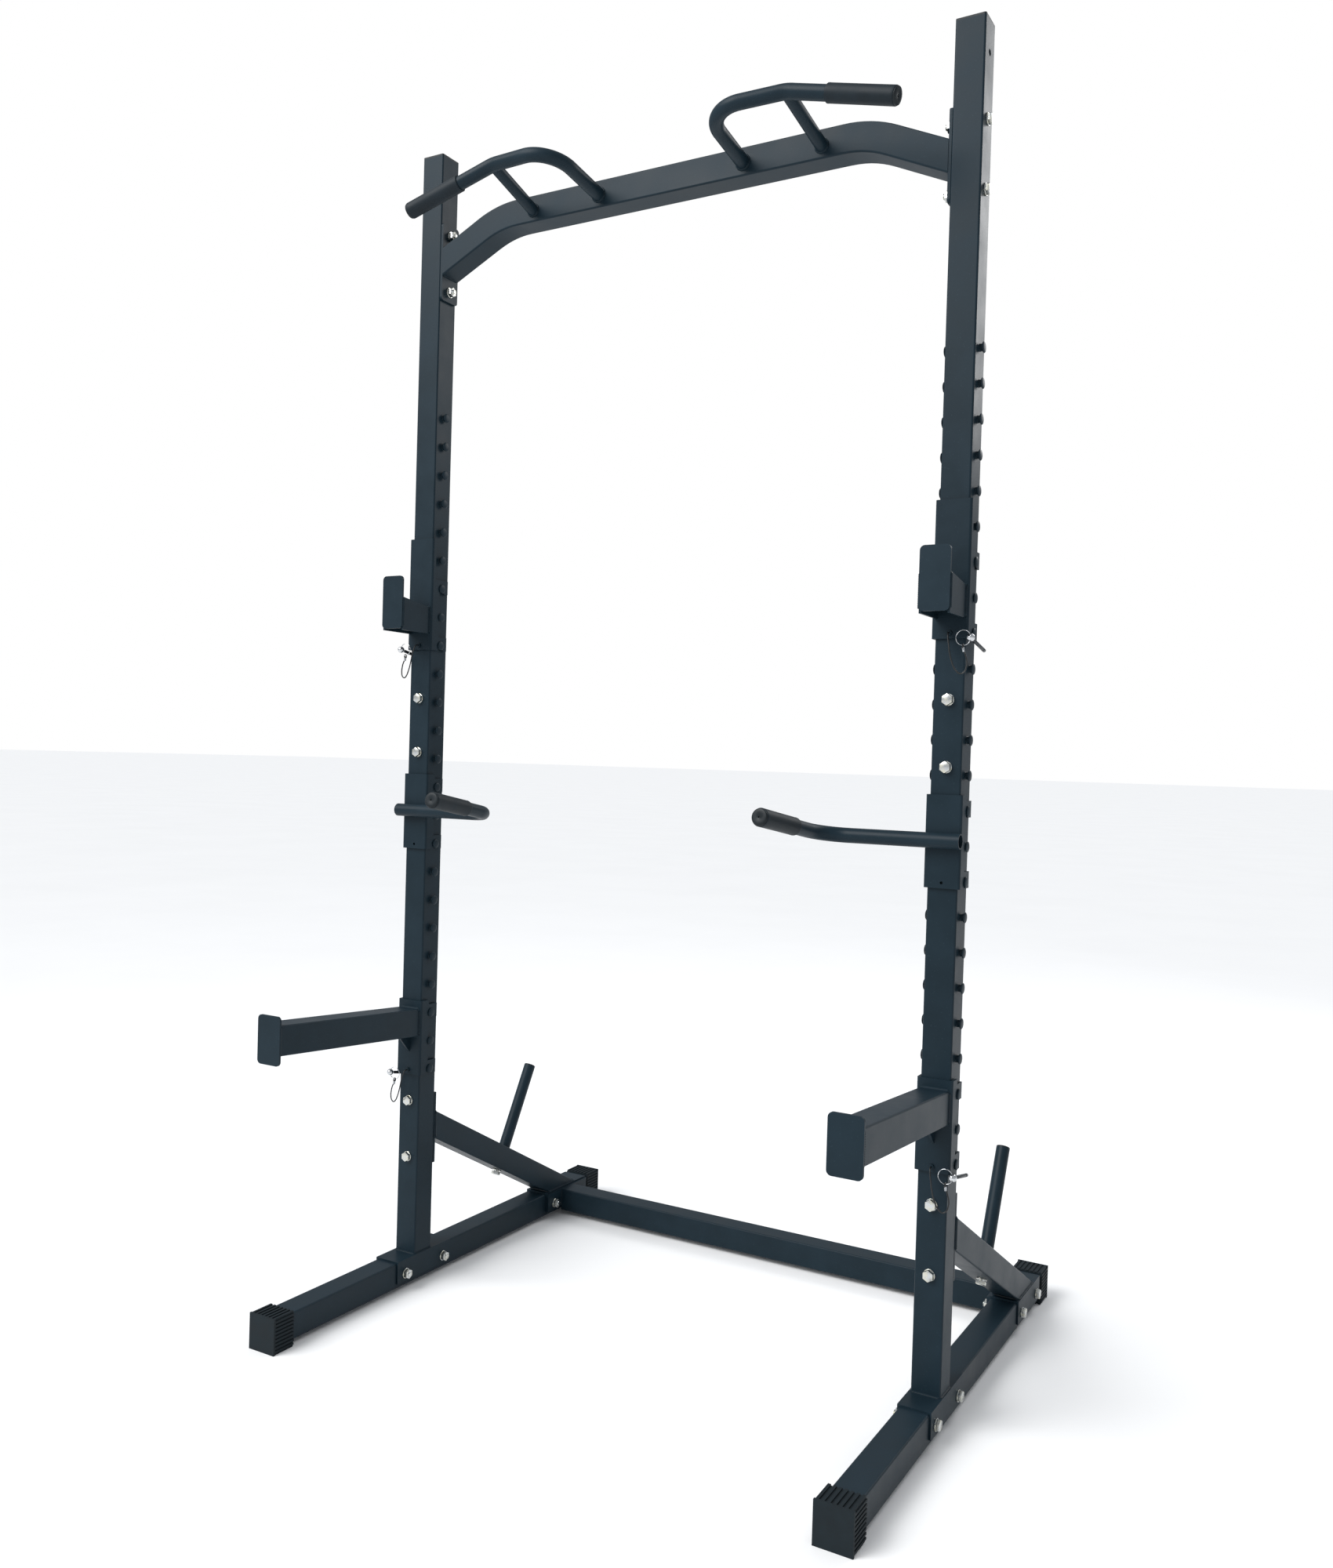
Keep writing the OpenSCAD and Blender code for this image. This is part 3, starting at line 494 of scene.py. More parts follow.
@dataclass
class Studio:
    """Camera, lights and floor.

    Attributes:
        eye: Where the camera stands, in metres.
        target: What it looks at, in metres.
        roll_deg: How far it is rolled about its line of sight.
        lens_mm: Its focal length on a 36 mm high sensor.
        key: The key light's strength.
        room: How much light the pale room casts.
        middle: The height that the lights are turned to, in metres.
        floor_size: The size the floor's grid is made with, in metres.
    """

    eye: tuple[float, float, float] = (1.213, -2.196, 1.074)
    target: tuple[float, float, float] = (-0.035, -0.030, 1.029)
    roll_deg: float = 1.68
    lens_mm: float = 30.26
    key: float = 2.45
    room: float = 0.5
    middle: float = 1.1
    floor_size: float = 150

    def camera(self) -> None:
        """Makes the camera."""
        data = bpy.data.cameras.new("camera")
        data.sensor_fit = "VERTICAL"
        data.sensor_height = 36
        data.lens = self.lens_mm
        cam = link_new("camera", data)
        sight = Vector(self.target) - Vector(self.eye)
        turn = sight.to_track_quat("-Z", "Y") @ Quaternion((0, 0, 1), math.radians(self.roll_deg))
        cam.matrix_world = Matrix.Translation(self.eye) @ turn.to_matrix().to_4x4()
        bpy.context.scene.camera = cam

    def lamp(self, name: str, place: tuple[float, float, float], size: float, watts: float) -> None:
        """Adds a square soft box that faces the rack's middle.

        Args:
            name: The lamp's name.
            place: Where it hangs, in metres.
            size: Its side, in metres.
            watts: Its power.
        """
        data = bpy.data.lights.new(name, "AREA")
        data.energy = watts
        data.size = size
        self.hang(name, data, place)

    def hang(self, name: str, data: bpy.types.Light, place: tuple[float, float, float]) -> None:
        """Hangs a light at a place, turned to the rack's middle.

        Args:
            name: The light's name.
            data: The light itself.
            place: Where it hangs, in metres.
        """
        obj = link_new(name, data)
        sight = Vector((0, 0, self.middle)) - Vector(place)
        turn = sight.to_track_quat("-Z", "Y").to_matrix().to_4x4()
        obj.matrix_world = Matrix.Translation(place) @ turn

    def light(self) -> None:
        """Lights the rack: a broad key and a box from the front left, a rim behind, a pale room."""
        key = bpy.data.lights.new("broad_key", "SUN")
        key.energy = self.key
        key.angle = math.radians(50)
        self.hang("broad_key", key, (-2.0, -3.0, 4.2))
        self.lamp("high_box", (-1.2, -2.6, 3.5), 1.6, 45)
        self.lamp("rim_box", (1.6, 3.0, 3.2), 1.6, 40)
        world = bpy.data.worlds.new("studio")
        world.use_nodes = True
        tree = world.node_tree
        tree.nodes.clear()
        seen = add(tree, "Background", {"Color": linear("#FFFFFF"), "Strength": 1.0})
        cast = add(tree, "Background", {"Color": linear("#F6FAFF"), "Strength": self.room})
        direct = add(tree, "LightPath").outputs["Is Camera Ray"]
        both = add(tree, "MixShader", {0: direct, 1: cast.outputs[0], 2: seen.outputs[0]})
        add(tree, "OutputWorld", {"Surface": both.outputs[0]})
        bpy.context.scene.world = world
        bpy.context.scene.view_settings.view_transform = "Standard"

    def floor(self) -> None:
        """Lays the pale floor."""
        bm = bmesh.new()
        bmesh.ops.create_grid(bm, x_segments=2, y_segments=2, size=self.floor_size)
        mesh = bpy.data.meshes.new("floor")
        bm.to_mesh(mesh)
        bm.free()
        floor = link_new("floor", mesh)
        dress(floor, PAPER)


# ---- sub-assemblies ----


@dataclass
class Rack:
    """What all sub-assemblies share: the rack's axes and the tube's size.

    Attributes:
        origin: The point on the floor midway between the uprights, in metres in the row frame.
        half_width: Half the distance between the uprights' centre lines.
        tube: The outside size of the square tube.
        tube_round: Its corner radius.
    """

    origin: Vector
    half_width: float
    tube: float = 50
    tube_round: float = 3

    @classmethod
    def from_frame(cls) -> Rack:
        """Reads the axes off the right-hand upright."""
        low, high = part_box("upper_upright_right")
        middle = (low + high) / 2
        return cls(Vector((0, middle.y, 0)), middle.x / MM)

    @property
    def half(self) -> float:
        """Half the tube's outside size."""
        return self.tube / 2

    def piece(
        self, shape: Shape, name: str, body: str, finish: Finish, slot: str
    ) -> bpy.types.Object:
        """Finishes a mesh, dresses it and lets it ride on a body.

        Args:
            shape: The mesh.
            name: The piece's name.
            body: The body it moves with.
            finish: Its finish.
            slot: The record's slot it stands for; it is not used.

        Returns:
            The new object.
        """
        obj = dress(shape.finish(name, self.origin), finish)
        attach(obj, body)
        log.info("%s: %d faces on %s", name, len(obj.data.polygons), body)
        return obj


@dataclass
class WeldBeads:
    """Weld beads where tubes and plates meet, rippled by the torch's steps.

    Attributes:
        rack: The rack.
        size: The bead's mean radius.
        ripple: How much the radius swells and shrinks.
        step: The distance between ripples.
        sides, end_share: The section's sides, and a bead's end radius over its mean.
        saddle_top, brace_root: The saddles' upper face, and the brace's centre as (y, z).
        cross_y, cross_in, cross_span: The cross tube's centre, the distance of its end from an
            upright's centre, and its beads' heights.
        end_plate, bar_edges, bar_bead: The bar's end plates' thickness, the heights of its faces
            there, and the length of a bead across it.
        grip_radii, sunk: Bead radii on a grip's two legs, and how far in front of the bar they lie.
        front, tube_side: The brackets' front face, and half a tray's, lip's and arm's width.
        tray_span, lip_y, lip_span: Where a hook's beads run, heights above the lower stud.
        dip_up, dip_bead, dip_sunk: A dip handle's height above the lower stud, half its beads'
            length and distance, and how far in front of the bracket they lie.
        arm_up, arm_tip, arm_deg, arm_half_h: An arm's root above the lower stud, its front end
            and run, its rise, and half its height.
    """

    rack: Rack
    size: float = 2.3
    ripple: float = 0.22
    step: float = 3.4
    sides: int = 8
    end_share: float = 0.6
    saddle_top: float = 63
    brace_root: tuple[float, float] = (30, 314)
    cross_y: float = 511
    cross_in: float = 33.2
    cross_span: tuple[float, float] = (22, 58)
    end_plate: float = 5
    bar_edges: tuple[float, float] = (2079.5, 2026.0)
    bar_bead: float = 42
    grip_radii: tuple[float, float] = (12.5, 11)
    sunk: float = 0.4
    front: float = -29.8
    tube_side: float = 25
    tray_span: tuple[float, float] = (25, 73)
    lip_y: float = -107.5
    lip_span: tuple[float, float] = (29, 84)
    dip_up: float = 67
    dip_bead: tuple[float, float] = (26, 6)
    dip_sunk: float = 1.4
    arm_up: float = 96.5
    arm_tip: tuple[float, float] = (-400, 370.2)
    arm_deg: float = 4
    arm_half_h: float = 27.5

    def rippled(self, count: int) -> list[float]:
        """The radius at each point of a bead."""
        return [self.size + (self.ripple if i % 2 else -self.ripple) for i in range(count)]

    def bead(self, shape: Shape, corners: Sequence[Vector], closed: bool = False) -> None:
        """Lays a bead along straight runs.

        Args:
            shape: The mesh that takes the bead.
            corners: The corners between the runs.
            closed: Whether the last corner joins the first.
        """
        ends = list(corners) + ([corners[0]] if closed else [])
        path: list[Vector] = []
        for a, b in zip(ends, ends[1:]):
            count = max(2, round((b - a).length / self.step * 2))
            path += [a.lerp(b, i / count) for i in range(count)]
        if not closed:
            path.append(ends[-1])
        radii = self.rippled(len(path))
        if not closed:
            radii[0] = radii[-1] = self.size * self.end_share
        shape.sweep(path, radii, sides=self.sides, closed=closed)

    def box_loop(self, centre: Vector, u: Vector, v: Vector) -> list[Vector]:
        """The cut-off corners of a rectangle.

        Args:
            centre: Its centre.
            u: Half of one side.
            v: Half of the other side.

        Returns:
            Eight points round the rectangle.
        """
        cut = self.rack.tube_round
        a, b = u.normalized() * cut, v.normalized() * cut
        return [
            centre + u + v - a, centre - u + v + a, centre - u + v - b, centre - u - v + b,
            centre - u - v + a, centre + u - v - a, centre + u - v + b, centre + u + v - b,
        ]

    def ring(
        self, shape: Shape, centre: Vector, radius: float, axis: Vector, count: int = 28
    ) -> None:
        """Lays a bead round a tube.

        Args:
            shape: The mesh that takes the bead.
            centre: The middle of the tube's end.
            radius: The tube's outside radius.
            axis: The tube's direction.
            count: How many points the bead has.
        """
        turn = axis.to_track_quat("Z", "X")
        angles = [math.tau * i / count for i in range(count)]
        circle = [centre + turn @ Vector((math.cos(a), math.sin(a), 0)) * radius for a in angles]
        shape.sweep(circle, self.rippled(count), sides=self.sides, closed=True)

    def frame(self) -> None:
        """Beads at the upright's foot, the brace's two ends and the cross tube's plates."""
        half, x0 = self.rack.half, self.rack.half_width
        slope = math.radians(BRACE_DEG)
        saddle_top, (brace_y, brace_z) = self.saddle_top, self.brace_root
        foot_y = brace_y + (brace_z - saddle_top) / math.tan(slope)
        across, low, high = Vector((half, 0, 0)), *self.cross_span
        for side in Side:
            x = side.value * x0
            foot = Shape()
            loop = self.box_loop(Vector((x, 0, saddle_top)), across, Vector((0, half, 0)))
            self.bead(foot, loop, closed=True)
            self.rack.piece(foot, f"upright_foot_weld_{side.word}", "frame", WELD, "powder_coat")
            brace = Shape()
            tall = Vector((0, 0, half / math.cos(slope)))
            loop = self.box_loop(Vector((x, brace_y, brace_z)), across, tall)
            self.bead(brace, loop, closed=True)
            long = Vector((0, half / math.sin(slope), 0))
            loop = self.box_loop(Vector((x, foot_y, saddle_top)), across, long)
            self.bead(brace, loop, closed=True)
            self.rack.piece(brace, f"brace_weld_{side.word}", "frame", WELD, "powder_coat")
            cross = Shape()
            plate_x = side.value * (x0 - self.cross_in)
            for y in (self.cross_y - half, self.cross_y + half):
                self.bead(cross, [Vector((plate_x, y, low)), Vector((plate_x, y, high))])
            self.rack.piece(cross, f"cross_tube_weld_{side.word}", "frame", WELD, "powder_coat")

    def pull_up(self, grips: GripSet) -> None:
        """Beads at the bar's end plates and round the grips' legs.

        Args:
            grips: The grips, for where their legs meet the bar.
        """
        half = self.rack.half
        end_x = self.rack.half_width - half - self.end_plate
        for side in Side:
            bar = Shape()
            for z in self.bar_edges:
                start = Vector((side.value * end_x, -self.bar_bead / 2, z))
                self.bead(bar, [start, start + Vector((0, self.bar_bead, 0))])
            for (x, _, z), radius in zip((grips.weld, grips.stay), self.grip_radii):
                centre = Vector((side.value * x, -half - self.sunk, z))
                self.ring(bar, centre, radius, Vector((0, 1, 0)))
            self.rack.piece(bar, f"pull_up_weld_{side.word}", "frame", WELD, "powder_coat")

    def brackets(self) -> None:
        """Beads on the J-hooks, dip handles and spotter arms."""
        front, wide = self.front, self.tube_side
        for side in Side:
            word, x = side.word, side.value * self.rack.half_width
            hook = Shape()
            low, high = (Level.J_HOOK.value + z for z in self.tray_span)
            tray = ((x - wide, low), (x - wide, high), (x + wide, high), (x + wide, low))
            self.bead(hook, [Vector((u, front, z)) for u, z in tray])
            for u in (x - wide, x + wide):
                lip = (Level.J_HOOK.value + z for z in self.lip_span)
                self.bead(hook, [Vector((u, self.lip_y, z)) for z in lip])
            body = f"j_hook_body_{word}"
            self.rack.piece(hook, f"j_hook_weld_{word}", body, WELD, "powder_coat")
            dip = Shape()
            level, (reach, apart) = Level.DIP.value + self.dip_up, self.dip_bead
            for z in (level - apart, level + apart):
                ends = (x - reach, x + reach)
                self.bead(dip, [Vector((u, front - self.dip_sunk, z)) for u in ends])
            body = f"dip_handle_body_{word}"
            self.rack.piece(dip, f"dip_weld_{word}", body, WELD, "powder_coat")
            arm = Shape()
            level, (tip_y, run) = Level.SPOTTER.value + self.arm_up, self.arm_tip
            tall = Vector((0, 0, self.arm_half_h))
            rise = run * math.tan(math.radians(self.arm_deg))
            for y, z in ((front, level), (tip_y, level + rise)):
                loop = self.box_loop(Vector((x, y, z)), Vector((wide, 0, 0)), tall)
                self.bead(arm, loop, closed=True)
            body = f"spotter_body_{word}"
            self.rack.piece(arm, f"spotter_weld_{word}", body, WELD, "powder_coat")


@dataclass
class Fasteners:
    """M10 hexagon bolts, nuts and washers, turned and chamfered like the real ones.

    Attributes:
        rack: The rack.
        corners: The hexagon's size across its corners.
        head: The head's height.
        nut: The nut's height.
        shank: The shank's diameter.
        pitch: The thread's pitch.
        threads: Its turns.
        depth: Its depth.
        washer_r: A washer's outside radius.
        washer_t: A peg's washer's thickness.
        peg_past: How far a peg's bolt passes the tube.
        slant: A box thicker than this every way is on the peg's axis.
        nut_from: Thicker parts are nuts, others washers.
        peg_axis: The direction of the pegs' bolts.
    """

    rack: Rack
    corners: float = 19.6
    head: float = 6.4
    nut: float = 8
    shank: float = 10
    pitch: float = 1.5
    threads: int = 9
    depth: float = 0.6
    washer_r: float = 10.0
    washer_t: float = 2.0
    peg_past: float = 15
    slant: float = 8.5
    nut_from: float = 4
    peg_axis: Vector = field(default_factory=lambda: Vector((0, 0.4741, 0.8805)))

    def direction(self, low: Vector, high: Vector) -> Vector:
        """The way a bolt points, from its head.

        Args:
            low: The low corner of the bolt's box.
            high: The high corner of the bolt's box.

        Returns:
            Inwards along x, rearwards along y, or along the peg.
        """
        size = high - low
        if size.z > 25 and size.y > 25:
            return self.peg_axis
        if size.x > size.y:
            return Vector((-math.copysign(1, (low + high).x), 0, 0))
        return Vector((0, 1, 0))

    def bolt(self, shape: Shape, low: Vector, high: Vector) -> None:
        """Adds one bolt that fills a box.

        Args:
            shape: The mesh that takes the bolt.
            low: The box's low corner.
            high: The box's high corner.
        """
        way = self.direction(low, high)
        middle = (low + high) / 2
        if way is self.peg_axis:
            length = self.head + self.rack.tube + self.peg_past
        else:
            length = abs((high - low).dot(way))
        start = middle - way * (length / 2)
        seat = start + way * self.head
        shape.hexagon(self.corners, self.head, aim(seat, -way))
        root, crest, tip = self.shank / 2 - self.depth, self.shank / 2, length - self.head
        turns = self.threads
        profile = [(0, -1.0), (crest, -1.0), (crest, tip - turns * self.pitch)]
        for i in range(turns):
            z = tip - (turns - i) * self.pitch
            profile += [(root, z + self.pitch * 0.3), (crest, z + self.pitch * 0.8)]
        profile += [(root, tip), (0, tip)]
        shape.lathe(profile, aim(seat, way), steps=20)

    def nuts_and_washers(self, shape: Shape, node: str) -> None:
        """Adds a washer or a nut for each solid of a node.

        Args:
            shape: The mesh that takes them.
            node: The CAD node's name.
        """
        for low, high in solids(node, self.rack.origin):
            size, middle = high - low, (low + high) / 2
            if min(size) > self.slant:
                way, thick = self.peg_axis, self.washer_t
            else:
                thick = min(size)
                way = Vector([1.0 if s == thick else 0.0 for s in size])
            if thick > self.nut_from:
                outward = way if (middle.y if way.y else -abs(middle.x)) > 0 else -way
                if way.x:
                    outward = Vector((-math.copysign(1, middle.x), 0, 0))
                shape.hexagon(self.corners, thick, aim(middle - outward * thick / 2, outward))
            else:
                self.washer(shape, aim(middle - way * thick / 2, way), thick)

    def washer(self, shape: Shape, place: Matrix, thick: float) -> None:
        """Adds a washer with both outer edges broken.

        Args:
            shape: The mesh that takes the washer.
            place: Where it goes.
            thick: Its thickness.
        """
        inner, outer, roll = self.shank / 2 + 0.2, self.washer_r, 0.4
        profile = [
            (inner, 0), (outer - roll, 0), (outer, roll), (outer, thick - roll),
            (outer - roll, thick), (inner, thick),
        ]
        shape.lathe(profile, place, steps=32, loop=True)

    def build(self) -> None:
        """Replaces the plain CAD fasteners."""
        for node in ("saddle_bolts", "upright_bolts", "pull_up_bolts", "peg_bolts"):
            shape = Shape()
            for low, high in solids(node, self.rack.origin):
                self.bolt(shape, low, high)
            self.replace(shape, node)
        for node in ("saddle_nuts", "upright_nuts", "pull_up_nuts", "washers"):
            shape = Shape()
            self.nuts_and_washers(shape, node)
            self.replace(shape, node)

    def replace(self, shape: Shape, node: str) -> None:
        """Shows the detailed pieces in place of a node."""
        piece = self.rack.piece(shape, f"{node}_plated", "frame", ZINC, "zinc")
        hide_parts(node)


@dataclass
class Studs:
    """The round-headed studs on both side faces of each upright.

    Attributes:
        rack: The rack.
        neck: The neck's radius.
        neck_h: How far the neck stands out before the head begins.
        radius: The head's radius.
        height: How far the whole stud stands out.
    """

    rack: Rack
    neck: float = 6
    neck_h: float = 5.5
    radius: float = 9
    height: float = 8.5

    def profile(self) -> list[tuple[float, float]]:
        """The stud's outline: neck, a rolled rim under the head, and the head's dome."""
        rise = self.height - self.neck_h - 1
        dome = [
            (self.radius * math.cos(a) ** 0.8, self.neck_h + 1 + rise * math.sin(a))
            for a in (math.radians(12 * i) for i in range(8))
        ]
        foot = [(0, -1.0), (self.neck + 0.8, -1.0), (self.neck + 0.8, 0), (self.neck, 0.8)]
        rim = [
            (self.neck, self.neck_h),
            (self.radius - 0.5, self.neck_h),
            (self.radius - 0.1, self.neck_h + 0.4),
        ]
        return [*foot, *rim, *dome, (0, self.height)]

    def build(self) -> None:
        """Replaces the plain CAD studs."""
        for side in Side:
            node = f"studs_{side.word}"
            shape = Shape()
            x0 = side.value * self.rack.half_width
            for low, high in solids(node, self.rack.origin):
                middle = (low + high) / 2
                way = Vector((math.copysign(1, middle.x - x0), 0, 0))
                place = aim(Vector((x0, middle.y, middle.z)) + way * self.rack.half, way)
                shape.lathe(self.profile(), place, steps=20)
            piece = self.rack.piece(shape, f"{node}_domed", "frame", POWDER, "powder_coat")
            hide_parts(node)


@dataclass
class GripSet:
    """Vinyl sleeves and end plugs on the pull-up grips, dip handles and plate pegs.

    Attributes:
        rack: The rack.
        weld: Where the right-hand grip's tube meets the bar.
        stay: Where its second leg meets the bar.
        knee: The corner of the tube before the handle.
        end: The handle's outer end.
        dip_corner: The corner of the right-hand dip handle.
        dip_end: Its front end.
        peg_root: Where the right-hand peg's centre line meets the brace's.
        peg_reach: From there to the peg's end.
        grip_cover: From a grip's end to its sleeve's far lip.
        dip_cover: The same on a dip handle.
        rim: The thickness of a plug's rim.
        handle_face: The plugs' radius on grips and dip handles.
        peg_face: The plugs' radius on pegs.
        steps: Sectors of a sleeve or plug.
    """

    rack: Rack
    weld: tuple[float, float, float] = (149, -25, 2115)
    stay: tuple[float, float, float] = (297, -25, 2113)
    knee: tuple[float, float, float] = (292, -158, 2145)
    end: tuple[float, float, float] = (483, -163, 2093)
    dip_corner: tuple[float, float, float] = (342, -41.7, 959)
    dip_end: tuple[float, float, float] = (325, -245, 991)
    peg_root: tuple[float, float, float] = (547, 287.98, 175.09)
    peg_reach: float = 217
    grip_cover: float = 122
    dip_cover: float = 112
    rim: float = 3
    handle_face: float = 14
    peg_face: float = 12.5
    steps: int = 48

    def sleeve(self, length: float) -> list[tuple[float, float]]:
        """The outline of a dipped sleeve: rolled lips at both ends, slightly slimmer between."""
        inner, outer = 12.6, 15.0
        return [
            (inner, 0), (outer - 0.7, 0), (outer - 0.1, 0.6), (outer, 1.6), (outer - 0.15, 4.0),
            (outer - 0.15, length * 0.5), (outer, length - 5), (outer, length - 1.2),
            (outer - 0.3, length - 0.4), (outer - 0.9, length), (inner, length),
        ]

    def plug(self, face: float) -> list[tuple[float, float]]:
        """The outline of an end plug: a rounded rim with a gate dimple in the middle."""
        return [
            (0, -19), (10.2, -19), (10.2, -3), (face, -3), (face, -1.6), (face - 0.5, -0.6),
            (face - 1.6, 0), (face * 0.6, 0), (2.4, -0.1), (1.7, -0.6), (1.5, -2.0), (0, -2.0),
        ]

    def build(self) -> None:
        """Replaces the plain CAD sleeves and plugs."""
        for side in Side:
            flip = side.flip
            end, knee = flip @ Vector(self.end), flip @ Vector(self.knee)
            tip, corner = flip @ Vector(self.dip_end), flip @ Vector(self.dip_corner)
            dip_body = f"dip_handle_body_{side.word}"
            sets = (
                ("grip", "frame", end, (end - knee).normalized(), self.grip_cover),
                ("dip", dip_body, tip, (tip - corner).normalized(), self.dip_cover),
            )
            for name, body, stop, way, length in sets:
                cover = Shape()
                place = aim(stop - way * length, way)
                cover.lathe(self.sleeve(length - self.rim), place, steps=self.steps, loop=True)
                title = f"{name}_sleeve_{side.word}_dipped"
                piece = self.rack.piece(cover, title, body, VINYL, "rubber")
                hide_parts(f"{name}_sleeve_{side.word}")
                cap = Shape()
                cap.lathe(self.plug(self.handle_face), aim(stop, way), steps=self.steps)
                title = f"{name}_plug_{side.word}_moulded"
                piece = self.rack.piece(cap, title, body, PLASTIC, "rubber")
                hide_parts(f"{name}_plug_{side.word}")
            lean = math.radians(BRACE_DEG)
            way = Vector((0, math.sin(lean), math.cos(lean)))
            place = aim(flip @ Vector(self.peg_root) + way * self.peg_reach, way)
            cap = Shape()
            cap.lathe(self.plug(self.peg_face), place, steps=self.steps)
            title = f"peg_plug_{side.word}_moulded"
            piece = self.rack.piece(cap, title, "frame", PLASTIC, "rubber")
            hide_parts(f"peg_plug_{side.word}")


@dataclass
class Tether:
    """A lock pin on its split ring, and the coated wire that ties it to its bracket.

    Attributes:
        rack: The rack.
        knob: The pin's ball, about the upright's centre line and the bracket's lower edge.
        ball: The ball's radius.
        eye: The radius of the hole through the ball.
        shank: The shank's radius.
        reach: The shank's length from the ball's centre.
        droop_deg: How far the shank points down.
        ring: The split ring's mean radius.
        ring_wire: The radius of its wire.
        ring_turns: How many turns it is wound.
        ring_rise: How far its two ends lie apart.
        wire: The coated wire's diameter.
        ferrule_at: The ferrule's lower end, in the route's axes.
        ferrule_way: The ferrule's direction.
        loop_at: The centre of the eye that the ferrule closes round the ring.
        loop_r: That eye's mean radius.
        loop_wire: The radius of its wire.
        route: The wire's centre line from the bracket's boss to the ring.
    """

    rack: Rack
    knob: tuple[float, float, float] = (38, -40, 0)
    ball: float = 6.5
    eye: float = 3.0
    shank: float = 3.0
    reach: float = 78
    droop_deg: float = 11
    ring: float = 12
    ring_wire: float = 0.5
    ring_turns: float = 1.9
    ring_rise: float = 0.96
    wire: float = 2.4
    ferrule_at: tuple[float, float, float] = (27.4, -40.2, -22.5)
    ferrule_way: tuple[float, float, float] = (-1.0, 0.2, 5.8)
    loop_at: tuple[float, float, float] = (26, -40, -13.4)
    loop_r: float = 3.4
    loop_wire: float = 0.9
    route: tuple[tuple[float, float, float], ...] = (
        (0, -32.8, 9), (0, -37, 9), (1, -41, 6), (2, -43, 0), (4, -45, -10), (6, -46, -22),
        (9, -46, -34), (13, -46, -45), (18, -45, -53), (24, -44, -57), (30, -43, -54),
        (33, -42, -46), (33, -41, -36), (30, -41, -26), (27, -40, -19), (26, -40, -13.2),
    )

    def base(self, side: Side, level: Level) -> Matrix:
        """Takes a point about the bracket's lower edge to the rack's axes, mirrored on the left."""
        return side.flip @ Matrix.Translation((self.rack.half_width, 0, level.value - 10))

    def cord(self, side: Side, level: Level, name: str, body: str) -> None:
        """Runs the coated wire, with a ferrule and an eye at the ring.

        Args:
            side, level: Which bracket it hangs from.
            name, body: How its nodes' names begin, and the body to ride on.
        """
        base = self.base(side, level)
        points = [self.rack.origin + (base @ Vector(p)) * MM for p in self.route]
        data = bpy.data.curves.new(f"{name}_lanyard_{side.word}_wire", "CURVE")
        data.dimensions = "3D"
        data.bevel_depth = self.wire / 2 * MM
        data.bevel_resolution = 3
        data.resolution_u = 6
        data.use_fill_caps = True
        spline = data.splines.new("BEZIER")
        spline.bezier_points.add(len(points) - 1)
        for knot, point in zip(spline.bezier_points, points):
            knot.co = point
            knot.handle_left_type = knot.handle_right_type = "AUTO"
        wire = link_new(data.name, data)
        dress(wire, COATED_WIRE)
        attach(wire, body)
        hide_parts(f"{name}_lanyard_{side.word}")
        clip = Shape()
        crimp = [
            (1.2, 0), (2.0, 0), (2.3, 0.5), (2.0, 1.6), (2.2, 3.5), (2.0, 5.4), (2.3, 6.5),
            (2.0, 7), (1.2, 7),
        ]
        place = base @ aim(Vector(self.ferrule_at), Vector(self.ferrule_way))
        clip.lathe(crimp, place, steps=20, loop=True)
        ferrule = self.rack.piece(clip, f"{name}_ferrule_{side.word}", body, FERRULE, "zinc")
        loop = Shape()
        x, y, z = self.loop_at
        angles = [math.tau * i / 20 for i in range(20)]
        circle = [
            base @ Vector((x, y + self.loop_r * math.cos(a), z + self.loop_r * math.sin(a)))
            for a in angles
        ]
        loop.sweep(circle, [self.loop_wire] * len(circle), sides=8, closed=True)
        eye = self.rack.piece(loop, f"{name}_eye_{side.word}", body, COATED_WIRE, "lanyard")

    def split_ring(self, side: Side, level: Level, name: str, body: str) -> None:
        """Winds the split ring: almost two close turns of wire.

        Args:
            side, level: Which bracket it hangs from.
            name, body: How its nodes' names begin, and the body to ride on.
        """
        base = self.base(side, level)
        centre = Vector(self.knob) - Vector((self.ring, 0, 0))
        steps = 120
        path = []
        for i in range(steps + 1):
            a = math.tau * self.ring_turns * i / steps
            rise = Vector((0, -self.ring_rise / 2 + self.ring_rise * i / steps, 0))
            path.append(base @ (centre + Vector((math.cos(a), 0, math.sin(a))) * self.ring + rise))
        shape = Shape()
        shape.sweep(path, [self.ring_wire] * len(path), sides=8)
        piece = self.rack.piece(shape, f"{name}_ring_{side.word}_split", body, CHROME, "chrome")
        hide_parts(f"{name}_ring_{side.word}")

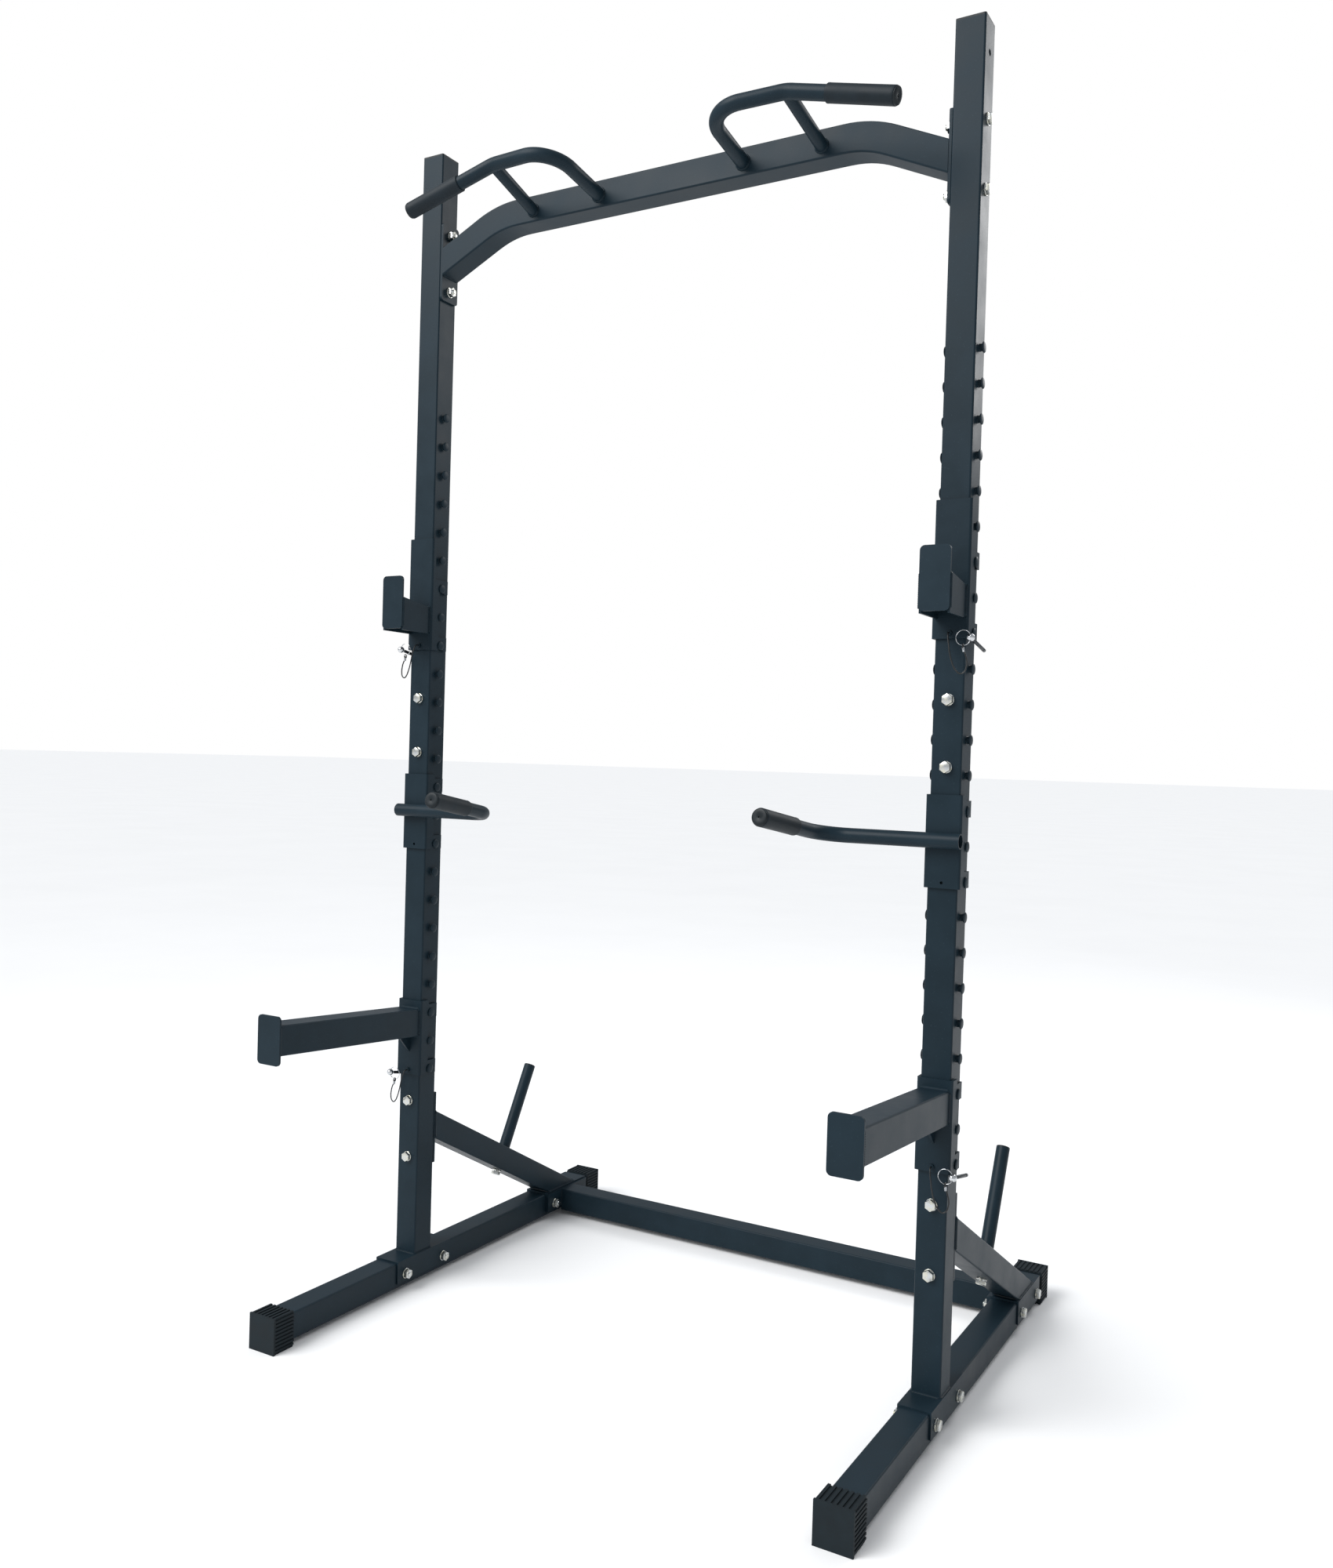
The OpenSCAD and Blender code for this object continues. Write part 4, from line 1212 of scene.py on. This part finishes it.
    def pin(self, side: Side, level: Level, name: str, body: str) -> None:
        """Turns the pin: a chromed ball with an eye, and a dark shank with a detent groove.

        Args:
            side, level: Which bracket it hangs from.
            name, body: How its nodes' names begin, and the body to ride on.
        """
        base = self.base(side, level)
        edge = math.acos(self.eye / self.ball)
        arc = [-edge + 2 * edge * i / 14 for i in range(15)]
        ball = Shape()
        ring = [(self.ball * math.cos(a), self.ball * math.sin(a)) for a in arc]
        ball.lathe(ring, base @ Matrix.Translation(self.knob), steps=36, loop=True)
        head = self.rack.piece(ball, f"{name}_pin_{side.word}_ball", body, CHROME, "chrome")
        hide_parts(f"{name}_pin_{side.word}")
        down = math.radians(self.droop_deg)
        way = Vector((0, math.cos(down), -math.sin(down)))
        r, end = self.shank, self.reach
        profile = [
            (0, 4.2), (r, 4.2), (r, 9), (r - 0.3, 9.4), (r - 0.3, 12), (r, 12.4), (r, end - 14),
            (r - 0.6, end - 13.4), (r - 0.6, end - 11), (r, end - 10.4), (r, end - 3),
            (r - 0.5, end - 1.6), (r - 1.5, end), (0, end),
        ]
        shaft = Shape()
        shaft.lathe(profile, base @ aim(Vector(self.knob), way), steps=28)
        self.rack.piece(shaft, f"{name}_pin_{side.word}_shank", body, OXIDE, "chrome")

    def build(self) -> None:
        """Makes all four tethers, the cords first."""
        uses = ((Level.J_HOOK, "j_hook"), (Level.SPOTTER, "spotter"))
        for side in Side:
            for level, name in uses:
                self.cord(side, level, name, f"{name}_body_{side.word}")
        for side in Side:
            for level, name in uses:
                self.split_ring(side, level, name, f"{name}_body_{side.word}")
                self.pin(side, level, name, f"{name}_pin_body_{side.word}")


def dress_nodes(nodes: dict[str, bpy.types.Object], record: dict[str, Any]) -> None:
    """Gives every CAD node the finish of its slot.

    Args:
        nodes: The frame's CAD nodes by name.
        record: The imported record, whose subparts name each node's slot.
    """
    slots = {part["node"]: part["material_slot"] for part in record["subparts"]}
    for name, obj in nodes.items():
        finish = PLASTIC if name.startswith("top_cap") else SLOT_FINISH[slots[name]]
        dress(obj, finish)
        log.info("%s: %s", name, finish.name)


def main() -> None:
    """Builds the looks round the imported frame."""
    logging.basicConfig(level=logging.INFO, format="%(message)s")
    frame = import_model()
    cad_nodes.update(frame["nodes"])
    studio = Studio()
    studio.camera()
    rack = Rack.from_frame()
    Tether(rack).build()
    studio.light()
    studio.floor()
    dress_nodes(frame["nodes"], frame["record"])
    grips = GripSet(rack)
    grips.build()
    Studs(rack).build()
    Fasteners(rack).build()
    beads = WeldBeads(rack)
    beads.frame()
    beads.pull_up(grips)
    beads.brackets()


if __name__ == "__main__":
    main()
